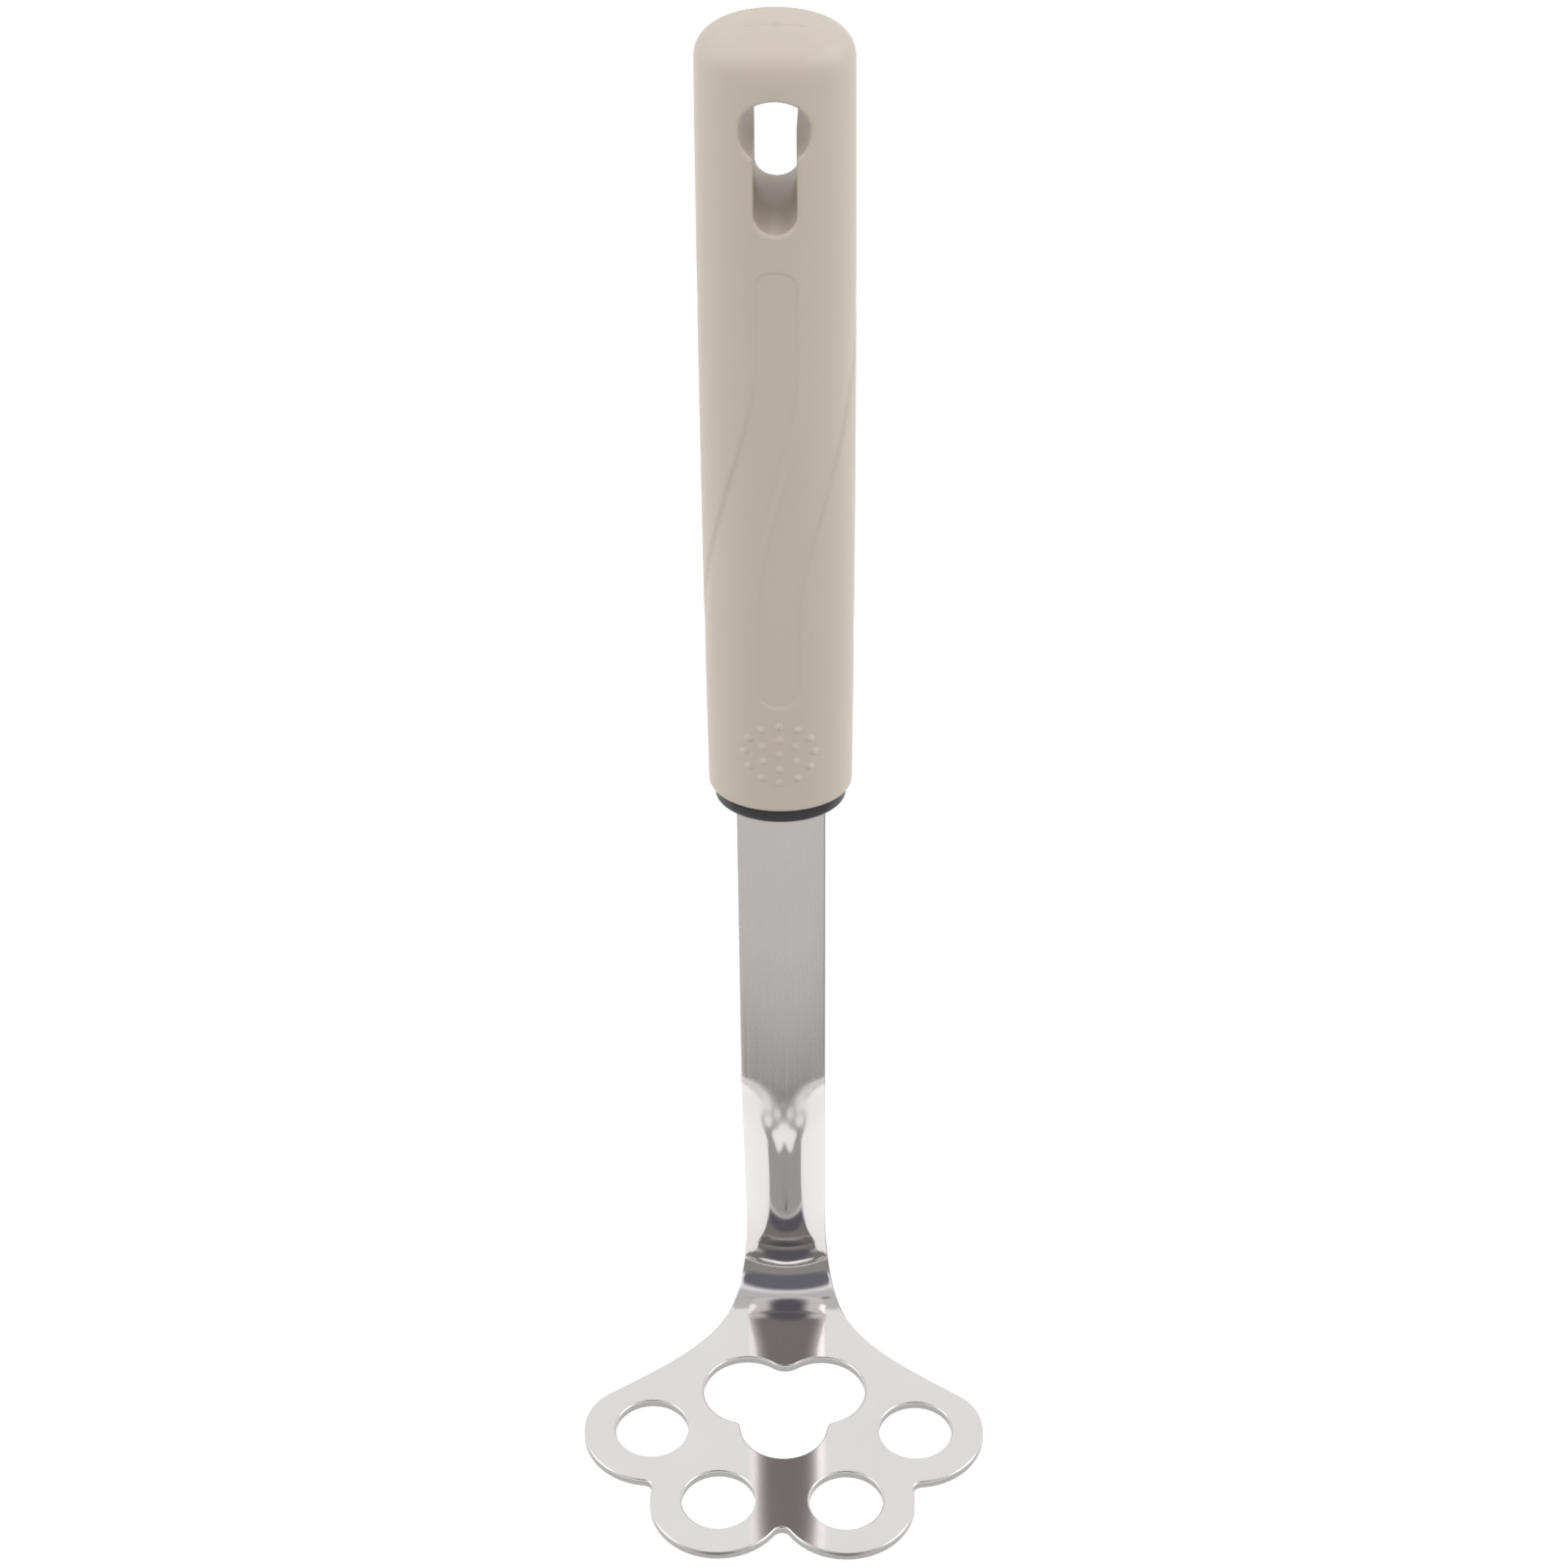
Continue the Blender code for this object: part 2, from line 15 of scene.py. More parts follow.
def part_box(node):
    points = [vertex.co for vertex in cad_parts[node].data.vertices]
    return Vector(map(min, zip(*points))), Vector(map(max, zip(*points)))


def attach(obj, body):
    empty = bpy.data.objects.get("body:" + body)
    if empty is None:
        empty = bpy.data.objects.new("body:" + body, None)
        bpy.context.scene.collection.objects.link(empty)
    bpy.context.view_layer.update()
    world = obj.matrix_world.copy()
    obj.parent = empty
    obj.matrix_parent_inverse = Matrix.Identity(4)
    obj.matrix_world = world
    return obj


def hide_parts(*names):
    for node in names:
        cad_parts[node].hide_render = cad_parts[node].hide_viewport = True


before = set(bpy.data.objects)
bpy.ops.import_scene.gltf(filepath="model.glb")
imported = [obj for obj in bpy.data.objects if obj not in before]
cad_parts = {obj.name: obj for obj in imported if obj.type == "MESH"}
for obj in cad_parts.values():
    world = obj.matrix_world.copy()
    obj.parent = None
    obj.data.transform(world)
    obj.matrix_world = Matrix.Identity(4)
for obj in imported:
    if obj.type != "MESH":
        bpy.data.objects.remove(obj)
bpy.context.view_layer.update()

# ---------------------------------------------------------------- sizes (metres)

MM = 0.001

# Sheet
SHEET = 0.0016
EDGE_ROUND = 0.00028            # stamped edges are slightly rolled
LOBE_RADIUS = 0.0112
HOLE_RADIUS = 0.0060
TOE_X = 0.0104
TOE_ROW = 0.0151
NOTCH_RADIUS = 0.0015
SHOULDER_RADIUS = 0.0086
SHOULDER_START = math.radians(12)
SHOULDER_END = math.radians(55.7)
HEEL_ROW = 0.0254
HEEL_HALF_WIDTH = 0.0101
FLARE_REACH = (0.0100, 0.0080)
FLARE_TAPER = 0.477
PAD_X = 0.0062
PAD_UPPER_ROW = 0.0086
PAD_UPPER_RADIUS = 0.00725
PAD_LOWER_ROW = 0.0009
PAD_LOWER_RADIUS = 0.00715
PAD_TIP_RADIUS = 0.0035
PAD_WAIST_RADIUS = 0.0015
BEND_RADIUS = 0.0074
STEM_LEAN = math.radians(18.9)
LOWER_STEM = 0.0402
CROOK_RADIUS = 0.0430
STEM_HALF_WIDTH = 0.0068
NECK_LENGTH = 0.0180
LOWER_BOW = 0.0088
UPPER_BOW = 0.0300
LOWER_FADE = 0.0200
FADE_START = 0.0120
UPPER_START = 0.0040
UPPER_FADE = 0.0060
MIN_CURVATURE = 1e-3            # stands for flat, so that a radius exists
TANG_NARROWING = 0.0016         # what each side of the stem loses inside the plug
STEM_COLUMNS = 28
BEND_STEP = 0.0003              # between the stem's rows, through the bend
STEM_STEP = 0.0009              # and above it
LAST_STEP = 0.0008              # least distance from the last of them to the end
EDGE_STEPS = 4
FLARE_STEPS = 24
ARC_STEP = math.radians(3.5)
SAME_POINT = 0.02 * MM
WELD = 0.004 * MM

# Handle and plug
DEPTH_RATIO = 0.0156 / 0.0214
HANDLE_RADIUS = 0.0107
HANDLE_BELLY = 0.00025
TOP_ROUND = 0.0040
TOP_CROWN = 0.0006
RIM_ROUND = 0.0006
POCKET_RADIUS = 0.0083
POCKET_ROOF = 0.0430            # from the handle's top down to the pocket
POCKET_ROUND = 4 * MM           # rounding of the pocket's end
PLUG_LIP = 0.0028
PLUG_INSET = 0.0009
PLUG_INSERT = 0.0240
PLUG_ROUND = 0.0008
PLUG_GAP = 0.0003
LIP_ROUND = 0.2 * MM            # upper edge of the lip
SLOT_GAP = 0.18 * MM            # between the tang and the plug's slot
EYE_RADIUS = 0.0049
EYE_DROP = 0.0122
SLOT_HALF = 0.0030
SLOT_DROP = 0.0278
DRAFT = 0.00022                 # the hang slot widens from its middle to each face
HOLE_ROUND = 0.00055            # rounding of the hang slot's rims
CUT_REACH = 0.011               # from the handle's middle to the slot cutter's ends
CUT_DRAFT = 1.3                 # the draft there, as a multiple of the draft at a face
GATE_LINE = (1.6, 0.16 * MM)    # foot in widths, and width, of the flash line
GATE_LINE_HEIGHT = 0.00010
GATE_LINE_REACH = 4.4 * MM
GATE_LINE_END = 0.8 * MM
GATE_NICK = (1.5, 0.5 * MM)     # foot in radii, and radius, of the gate's nick
GATE_NICK_DEPTH = 0.00022

PLATE_LOW, PLATE_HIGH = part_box("masher_blade")
HANDLE_LOW, HANDLE_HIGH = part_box("handle_grip")
HANDLE_BOTTOM = HANDLE_LOW[2]
HANDLE_TOP = HANDLE_HIGH[2]
HANDLE_LENGTH = HANDLE_TOP - HANDLE_BOTTOM
LOBE_X = PLATE_HIGH[0] - LOBE_RADIUS
ROW_Y = PLATE_LOW[1] + TOE_ROW + LOBE_RADIUS
BEND_ANGLE = math.pi / 2 + STEM_LEAN
BEND_END = BEND_RADIUS * BEND_ANGLE
LOWER_END = BEND_END + LOWER_STEM
CROOK_END = LOWER_END + CROOK_RADIUS * STEM_LEAN

# Swirl grooves, measured along the handle's surface from the middle of its front
SWIRL_MIDDLE = HANDLE_BOTTOM + 0.0577
SWIRL_HALF = 0.0380             # from the middle to a groove's end
SWIRL_SHIFT = 0.00336           # the shared ridge moves this far to each side
SWIRL_TURN = 0.0445             # height over which it moves
SWIRL_DEPTH = 0.00024
SWIRL_EASE = 0.00055            # width of a groove's sloping wall
EDGE_SLOPE = 0.29               # how fast a groove's outer edge runs off round the side
EDGE_EASE = 8 * MM              # height over which it gathers way
EDGE_SLANT = 0.96               # distance square to a slanting edge, against along the surface
END_POWER = 2.3                 # squareness of a groove's end
LEAN_START = 8 * MM             # above the middle, where the floor starts to lean
LEAN_RUN = 26 * MM
FADE_DROP = 12 * MM             # below the middle, where the groove starts to fade
FADE_RUN = 24 * MM

# Grip dots
DOT_RADIUS = 0.00060
DOT_HEIGHT = 0.00034
DOT_RINGS = ((1, 0.0), (6, 0.00277), (12, 0.00533))
DOT_ROW = 0.0112
DOT_FOOT = 1.35                 # where a dot meets the surface, in radii
DOT_FLANK = 1.1                 # width of its slope, in radii

# Steps of the meshes; those of the handle's rows are in millimetres
DOT_STEP = 0.15
HOLE_STEP = 0.2
GROOVE_END_STEP = 0.2
GROOVE_STEP = 0.4
PLAIN_STEP = 0.6
OVAL_SAMPLES = 4000
OVAL_FINE = 0.17 * MM           # round the oval at the front and back
OVAL_COARSE = 0.36 * MM         # and round its sides
OVAL_FINE_REACH = 7.5 * MM
PLUG_STEP = 0.5 * MM
EYE_STEPS = 72
FOOT_STEPS = 24
TOP_ROWS = 40
SHOULDER_ROWS = 24
ROUND_ROWS = 6
POCKET_ROWS = 11
LIP_ROWS = 8
SLOT_ROWS = 60
SLOT_COLUMNS = 12


# ---------------------------------------------------------------- flat outlines

def arc(centre, radius, start, end):
    """Points on an arc, both ends included."""
    count = max(2, math.ceil(abs(end - start) / ARC_STEP))
    angles = [start + (end - start) * i / count for i in range(count + 1)]
    return [(centre[0] + radius * math.cos(a), centre[1] + radius * math.sin(a)) for a in angles]


def bearing(origin, target):
    """Angle of the direction from one point to another."""
    return math.atan2(target[1] - origin[1], target[0] - origin[0])


def fillet_centre(first, first_radius, second, second_radius, fillet):
    """Centre of the circle that touches two circles from outside, on their right."""
    to_first = first_radius + fillet
    to_second = second_radius + fillet
    span = math.dist(first, second)
    along = (span ** 2 + to_first ** 2 - to_second ** 2) / (2 * span)
    across = -math.sqrt(to_first ** 2 - along ** 2)
    heading = bearing(first, second)
    return (
        first[0] + along * math.cos(heading) - across * math.sin(heading),
        first[1] + along * math.sin(heading) + across * math.cos(heading),
    )


def unwind(start, end, turn):
    """Bring an end angle to the side of the start that the turn goes to."""
    while turn * (end - start) < 0:
        end += turn * 2 * math.pi
    while turn * (end - start) > 2 * math.pi:
        end -= turn * 2 * math.pi
    return end


def blend_arcs(lobes, fillets):
    """Go round lobes anticlockwise, with a hollow fillet from each lobe to the next."""
    centres = [fillet_centre(*lobes[i], *lobes[i + 1], fillets[i]) for i in range(len(fillets))]
    points = []
    for i, (fillet, radius) in enumerate(zip(centres, fillets)):
        (lobe, lobe_radius), (following, _) = lobes[i], lobes[i + 1]
        if i > 0:
            start = bearing(lobe, centres[i - 1])
            points += arc(lobe, lobe_radius, start, unwind(start, bearing(lobe, fillet), 1))
        start = bearing(fillet, lobe)
        points += arc(fillet, radius, start, unwind(start, bearing(fillet, following), -1))[1:-1]
    return points, centres


def cubic(p0, p1, p2, p3, count):
    """Points inside a cubic curve."""
    points = []
    for i in range(1, count):
        t = i / count
        weights = ((1 - t) ** 3, 3 * t * (1 - t) ** 2, 3 * t ** 2 * (1 - t), t ** 3)
        points.append(tuple(sum(w * p[k] for w, p in zip(weights, (p0, p1, p2, p3))) for k in (0, 1)))
    return points


def plate_contour():
    """Edge of the plate from its left heel round the toe to its right heel, row of outer holes at 0."""
    toes = ((-LOBE_X, 0.0), (-TOE_X, -TOE_ROW), (TOE_X, -TOE_ROW), (LOBE_X, 0.0))
    lobes = [(toe, LOBE_RADIUS) for toe in toes]
    front, centres = blend_arcs(lobes, [NOTCH_RADIUS] * 3)
    outer = (LOBE_X, 0.0)
    lobe = arc(outer, LOBE_RADIUS, bearing(outer, centres[-1]), SHOULDER_START)
    shift = LOBE_RADIUS - SHOULDER_RADIUS
    centre = (outer[0] + shift * math.cos(SHOULDER_START), shift * math.sin(SHOULDER_START))
    shoulder = arc(centre, SHOULDER_RADIUS, SHOULDER_START, SHOULDER_END)[1:]
    neck = (HEEL_HALF_WIDTH, HEEL_ROW)
    leave = (-math.sin(SHOULDER_END), math.cos(SHOULDER_END))
    slope = math.hypot(FLARE_TAPER, 1)
    last = shoulder[-1]
    flare = cubic(
        last,
        (last[0] + FLARE_REACH[0] * leave[0], last[1] + FLARE_REACH[0] * leave[1]),
        (neck[0] + FLARE_REACH[1] * FLARE_TAPER / slope, neck[1] - FLARE_REACH[1] / slope),
        neck,
        FLARE_STEPS,
    )
    right = lobe + shoulder + flare + [neck]
    return [(-x, y) for x, y in reversed(right)] + front + right


def pad_outline():
    """Outline of the three-lobed opening."""
    right = ((PAD_X, PAD_UPPER_ROW), PAD_UPPER_RADIUS)
    left = ((-PAD_X, PAD_UPPER_ROW), PAD_UPPER_RADIUS)
    lower = ((0.0, PAD_LOWER_ROW), PAD_LOWER_RADIUS)
    fillets = [PAD_WAIST_RADIUS, PAD_WAIST_RADIUS, PAD_TIP_RADIUS]
    points, centres = blend_arcs([left, lower, right, left], fillets)
    start = bearing(left[0], centres[-1])
    return points + arc(left[0], PAD_UPPER_RADIUS, start, unwind(start, bearing(left[0], centres[0]), 1))


# ---------------------------------------------------------------- mesh helpers

def add_object(name, data):
    """Put a mesh, curve, light or camera in the scene."""
    obj = bpy.data.objects.new(name, data)
    bpy.context.scene.collection.objects.link(obj)
    return obj


def baked_mesh(obj):
    """Return the evaluated mesh of an object."""
    bpy.context.view_layer.update()
    graph = bpy.context.evaluated_depsgraph_get()
    return bpy.data.meshes.new_from_object(obj.evaluated_get(graph))


def grid_mesh(name, rows, closed=False):
    """Mesh of quads through rows of points; closed rows run round, and single points close the ends."""
    verts, faces, starts = [], [], []
    for row in rows:
        starts.append(len(verts))
        verts += row
    for i in range(len(rows) - 1):
        here, there = rows[i], rows[i + 1]
        a, b = starts[i], starts[i + 1]
        count = max(len(here), len(there))
        for j in range(count if closed else count - 1):
            k = (j + 1) % count
            if len(here) == 1:
                faces.append((a, b + j, b + k))
            elif len(there) == 1:
                faces.append((a + j, b, a + k))
            else:
                faces.append((a + j, b + j, b + k, a + k))
    mesh = bpy.data.meshes.new(name)
    mesh.from_pydata(verts, [], faces)
    cage = bmesh.new()
    cage.from_mesh(mesh)
    if closed:
        bmesh.ops.recalc_face_normals(cage, faces=cage.faces)
        if cage.calc_volume(signed=True) < 0:
            bmesh.ops.reverse_faces(cage, faces=cage.faces)
    cage.to_mesh(mesh)
    cage.free()
    return mesh


def cut(obj, cutter):
    """Cut a closed shape out of an object, at once, and remove the cutter."""
    modifier = obj.modifiers.new("cut", "BOOLEAN")
    modifier.operation = "DIFFERENCE"
    modifier.solver = "MANIFOLD"
    modifier.object = cutter
    mesh = baked_mesh(obj)
    obj.modifiers.clear()
    obj.data = mesh
    bpy.data.objects.remove(cutter, do_unlink=True)


def dress(obj, material, sharp):
    """Give an object one material, and smooth shading up to an angle in degrees."""
    mesh = obj.data
    mesh.materials.clear()
    mesh.materials.append(material)
    mesh.shade_smooth()
    mesh.set_sharp_from_angle(angle=math.radians(sharp))


def smooth_step(value):
    """0 below 0, 1 above 1, smooth between."""
    t = min(1.0, max(0.0, value))
    return t * t * (3 - 2 * t)


# ---------------------------------------------------------------- the sheet

def stem_path(length):
    """Place on the front face's centre line, as (y, z, heading), a length after the bend starts."""
    heading = min(length, BEND_END) / BEND_RADIUS
    y = HEEL_ROW + BEND_RADIUS * math.sin(heading)
    z = BEND_RADIUS * (1 - math.cos(heading))
    if length > BEND_END:
        straight = min(length, LOWER_END) - BEND_END
        y += straight * math.cos(heading)
        z += straight * math.sin(heading)
    if length > LOWER_END:
        heading = BEND_ANGLE - (min(length, CROOK_END) - LOWER_END) / CROOK_RADIUS
        y += CROOK_RADIUS * (math.sin(BEND_ANGLE) - math.sin(heading))
        z += CROOK_RADIUS * (math.cos(heading) - math.cos(BEND_ANGLE))
    if length > CROOK_END:
        z += length - CROOK_END
    return y, z, heading


HANDLE_Y = ROW_Y + stem_path(CROOK_END)[0] + SHEET / 2


def length_at_height(height):
    """Length along the upright stem at which the front face is at a height."""
    return CROOK_END + height - SHEET - stem_path(CROOK_END)[1]


def half_width(length):
    """Half the sheet's width across the stem; it narrows to the tang inside the plug."""
    left = max(0.0, 1 - length / NECK_LENGTH)
    power = FLARE_TAPER * NECK_LENGTH / (HEEL_HALF_WIDTH - STEM_HALF_WIDTH)
    stem = STEM_HALF_WIDTH + (HEEL_HALF_WIDTH - STEM_HALF_WIDTH) * left ** power
    tang = smooth_step((length - length_at_height(HANDLE_BOTTOM - PLUG_LIP)) / PLUG_LIP)
    return stem - tang * TANG_NARROWING


def bow(length):
    """Curvature across the stem, which bulges to the front."""
    lower = smooth_step((length - BEND_END + FADE_START) / LOWER_FADE) / LOWER_BOW
    upper = smooth_step((length - CROOK_END + UPPER_START) / UPPER_FADE)
    return lower + upper * (1 / UPPER_BOW - 1 / LOWER_BOW)


def stem_point(length, across, extra=0.0, forward=0.0):
    """Point of the front face; across runs from -1 to 1."""
    y, z, heading = stem_path(length)
    curvature = max(bow(length), MIN_CURVATURE)
    angle = across * math.asin(min(1.0, (half_width(length) + extra) * curvature))
    radius = 1 / curvature + forward
    back = 1 / curvature - radius * math.cos(angle)
    return (
        radius * math.sin(angle),
        ROW_Y + y + back * math.sin(heading),
        SHEET + z - back * math.cos(heading),
    )


def stem_lengths(end):
    """Lengths of the stem's rows, closer through the bend."""
    lengths, length = [0.0], 0.0
    while length < end - LAST_STEP:
        length += BEND_STEP if length < BEND_END else STEM_STEP
        lengths.append(length)
    return lengths + [end]


def edge_profile():
    """Section of the sheet's rounded edge as (inset, height), from the front face to the back face."""
    turns = [math.pi / 2 * i / EDGE_STEPS for i in range(EDGE_STEPS + 1)]
    upper = [(EDGE_ROUND * (1 - math.sin(t)), SHEET - EDGE_ROUND * (1 - math.cos(t))) for t in turns]
    return upper + [(inset, SHEET - height) for inset, height in reversed(upper)]


def inward(points, closed):
    """Unit vectors to the left of the way along some points."""
    count = len(points)
    vectors = []
    for i in range(count):
        before = points[i - 1] if closed or i > 0 else points[i]
        after = points[(i + 1) % count] if closed or i < count - 1 else points[i]
        dx, dy = after[0] - before[0], after[1] - before[1]
        length = math.hypot(dx, dy)
        vectors.append((-dy / length, dx / length))
    return vectors


def spaced(points, closed):
    """Points with any that lie on the one before left out."""
    kept = [points[0]]
    for point in points[1:]:
        if math.dist(point, kept[-1]) > SAME_POINT:
            kept.append(point)
    if closed and math.dist(kept[0], kept[-1]) < SAME_POINT:
        kept.pop()
    return kept


def flat_face(outlines, z):
    """Filled flat face with holes, as a mesh at a height."""
    curve = bpy.data.curves.new("flat_face", "CURVE")
    curve.dimensions = "2D"
    curve.fill_mode = "BOTH"
    for outline in outlines:
        spline = curve.splines.new("POLY")
        spline.points.add(len(outline) - 1)
        for point, (x, y) in zip(spline.points, outline):
            point.co = (x, y, 0.0, 1.0)
        spline.use_cyclic_u = True
    obj = add_object("flat_face", curve)
    mesh = baked_mesh(obj)
    bpy.data.objects.remove(obj, do_unlink=True)
    for vertex in mesh.vertices:
        vertex.co = (vertex.co.x, vertex.co.y + ROW_Y, z)
    return mesh


def make_blade(steel, edge_steel):
    """Plate, bend, stem and tang as one sheet with rounded edges."""
    profile = edge_profile()
    side = len(profile) // 2 - 1
    contour = spaced(plate_contour(), False)
    holes = ((LOBE_X, 0), (-LOBE_X, 0), (TOE_X, -TOE_ROW), (-TOE_X, -TOE_ROW))
    openings = [pad_outline()] + [arc(hole, HOLE_RADIUS, 0, 2 * math.pi) for hole in holes]
    ways = inward(contour, False)
    # At the heel the plate's edge and the stem's edge meet straight across
    ways[0], ways[-1] = (1.0, 0.0), (-1.0, 0.0)
    edges = [(contour, ways, False)]
    for opening in openings:
        points = spaced(opening, True)
        edges.append((points, [(-x, -y) for x, y in inward(points, True)], True))

    cage = bmesh.new()
    rim_faces = []
    insets = []
    for points, vectors, closed in edges:
        loops = []
        for inset, height in profile:
            places = [(x + inset * u, y + inset * v) for (x, y), (u, v) in zip(points, vectors)]
            loops.append([cage.verts.new((x, ROW_Y + y, height)) for x, y in places])
        pairs = zip(points, vectors)
        insets.append([(x + EDGE_ROUND * u, y + EDGE_ROUND * v) for (x, y), (u, v) in pairs])
        for k in range(len(profile) - 1):
            for i in range(len(points) if closed else len(points) - 1):
                j = (i + 1) % len(points)
                face = cage.faces.new((loops[k][i], loops[k + 1][i], loops[k + 1][j], loops[k][j]))
                if k >= side:
                    rim_faces.append(face)
    columns = [1 - 2 * j / STEM_COLUMNS for j in range(STEM_COLUMNS + 1)]
    flat_reach = HEEL_HALF_WIDTH - EDGE_ROUND
    heel = [(flat_reach * c, HEEL_ROW) for c in columns[1:-1]]

    end = length_at_height(HANDLE_BOTTOM + PLUG_INSERT)
    beyond = len(columns) - 1
    left_rim = range(beyond + side, beyond + len(profile) - 1)
    right_rim = 2 * beyond + len(profile) - 1
    previous = None
    for length in stem_lengths(end):
        reach = half_width(length)
        loop = [(c * (1 - EDGE_ROUND / reach), 0.0) for c in columns]
        left = [((inset / reach) - 1, SHEET - height) for inset, height in profile]
        back = [(-c * (1 - EDGE_ROUND / reach), SHEET) for c in columns]
        right = [(1 - inset / reach, SHEET - height) for inset, height in reversed(profile)]
        loop = loop + left[1:-1] + back + right[1:-1]
        row = [cage.verts.new(stem_point(length, across, 0.0, -depth)) for across, depth in loop]
        if previous:
            for i in range(len(row)):
                j = (i + 1) % len(row)
                face = cage.faces.new((previous[i], previous[j], row[j], row[i]))
                if i in left_rim or i >= right_rim:
                    rim_faces.append(face)
        previous = row
    cage.faces.new(previous)
    for face in rim_faces:
        face.material_index = 1
    for z in (SHEET, 0.0):
        cage.from_mesh(flat_face([insets[0] + heel] + insets[1:], z))
    bmesh.ops.remove_doubles(cage, verts=cage.verts, dist=WELD)
    bmesh.ops.recalc_face_normals(cage, faces=cage.faces)
    if cage.calc_volume(signed=True) < 0:
        bmesh.ops.reverse_faces(cage, faces=cage.faces)
    mesh = bpy.data.meshes.new("blade_skin")
    cage.to_mesh(mesh)
    cage.free()
    mesh.materials.append(steel)
    mesh.materials.append(edge_steel)
    mesh.shade_smooth()
    flatten_shading(mesh)
    return add_object("blade_skin", mesh)


def flatten_shading(mesh):
    """Give the plate's two flat faces exact normals, and the rest smooth ones."""
    normals = [vertex.normal.copy() for vertex in mesh.vertices]
    for vertex in mesh.vertices:
        if abs(vertex.co.z - SHEET) < 1e-6 and vertex.normal.z > 0:
            normals[vertex.index] = Vector((0, 0, 1))
        elif abs(vertex.co.z) < 1e-6 and vertex.normal.z < 0:
            normals[vertex.index] = Vector((0, 0, -1))
    mesh.normals_split_custom_set_from_vertices(normals)


# ---------------------------------------------------------------- the handle

def side_radius(z):
    """Half the handle's width at a height."""
    middle = 2 * (z - HANDLE_BOTTOM) / HANDLE_LENGTH - 1
    return HANDLE_RADIUS + HANDLE_BELLY * (1 - middle * middle)


def oval_angles(fine, coarse, fine_reach):
    """Angles round the oval, from the back's middle round; fine steps at the front and back."""
    count = OVAL_SAMPLES
    radius = HANDLE_RADIUS + HANDLE_BELLY
    travelled = [0.0]
    for i in range(count):
        a = math.pi * (i + 0.5) / count
        step = math.pi / count * radius * math.hypot(math.cos(a), DEPTH_RATIO * math.sin(a))
        travelled.append(travelled[-1] + step)
    half = travelled[-1]
    lengths, s = [], 0.0
    while s < half - 1e-6:
        lengths.append(s)
        near = min(s, half - s)
        s += fine if near < fine_reach else coarse
    scale = half / s
    angles, k = [], 0
    for length in lengths:
        while travelled[k + 1] < length * scale:
            k += 1
        part = (length * scale - travelled[k]) / (travelled[k + 1] - travelled[k])
        angles.append(math.pi * (k + part) / count)
    ring = [(a, length * scale) for a, length in zip(angles, lengths)]
    mirrored = [(-a, -s) for a, s in reversed(ring[1:])]
    return mirrored + ring + [(math.pi, half)]


def ridge(z):
    """Where the two grooves meet, along the surface from the front's middle."""
    turned = smooth_step((z - SWIRL_MIDDLE) / SWIRL_TURN + 0.5)
    return SWIRL_SHIFT * (2 * turned - 1)


def outer_edge(z):
    """Left edge of the upper groove, which runs off round the handle's side."""
    drop = max(0.0, SWIRL_MIDDLE + SWIRL_TURN / 2 - z)
    return -SWIRL_SHIFT - EDGE_SLOPE * (math.hypot(drop, EDGE_EASE) - EDGE_EASE)


def groove_depth(s, z):
    """Depth of the upper groove at a place on the surface."""
    top = SWIRL_MIDDLE + SWIRL_HALF
    if z > top or z < SWIRL_MIDDLE - SWIRL_HALF:
        return 0.0
    left, right = outer_edge(z), ridge(z)
    if not left < s < right:
        return 0.0
    inside = EDGE_SLANT * min(s - left, right - s)
    reach = SWIRL_SHIFT
    if z > top - reach:
        rise = (z - (top - reach)) / reach
        level = (abs(s) / reach) ** END_POWER + rise ** END_POWER
        inside = reach * (1 - level ** (1 / END_POWER))
    if inside <= 0:
        return 0.0
    wall = smooth_step(inside / SWIRL_EASE)
    lean = smooth_step((SWIRL_MIDDLE + LEAN_START - z) / LEAN_RUN)
    across = 1 - (s - left) / (right - left)
    fade = 1 - smooth_step((SWIRL_MIDDLE - FADE_DROP - z) / FADE_RUN)
    return SWIRL_DEPTH * wall * fade * (1 - lean + lean * across)


def dot_centres():
    """Places of the grip dots, as (along the surface, height)."""
    centres = []
    for count, ring in DOT_RINGS:
        for i in range(count):
            angle = math.pi / 2 + 2 * math.pi * i / count
            up = HANDLE_BOTTOM + DOT_ROW + ring * math.sin(angle)
            centres.append((ring * math.cos(angle), up))
    return centres


DOTS = dot_centres()
DOT_FIELD = DOT_RINGS[-1][1] + 2 * DOT_RADIUS


def dot_rise(s, z):
    """Height of the grip dots at a place on the surface."""
    if abs(z - HANDLE_BOTTOM - DOT_ROW) > DOT_FIELD or abs(s) > DOT_FIELD:
        return 0.0
    for across, up in DOTS:
        away = math.hypot(s - across, z - up) / DOT_RADIUS
        if away < DOT_FOOT:
            return DOT_HEIGHT * smooth_step((DOT_FOOT - away) / DOT_FLANK)
    return 0.0


def from_keyhole(x, z):
    """Distance outside the hang slot's outline, negative inside."""
    eye = math.hypot(x, z - (HANDLE_TOP - EYE_DROP)) - EYE_RADIUS
    foot = HANDLE_TOP - SLOT_DROP + SLOT_HALF
    if z < foot:
        slot = math.hypot(x, z - foot) - SLOT_HALF
    else:
        slot = abs(x) - SLOT_HALF if z < HANDLE_TOP - EYE_DROP else eye
    return min(eye, slot)


def rim_drop(x, z):
    """How far the surface falls at the rounded rim of the hang slot."""
    away = from_keyhole(x, z)
    if away >= HOLE_ROUND:
        return 0.0
    near = min(HOLE_ROUND, HOLE_ROUND - away)
    return HOLE_ROUND - math.sqrt(max(0.0, HOLE_ROUND ** 2 - near ** 2))


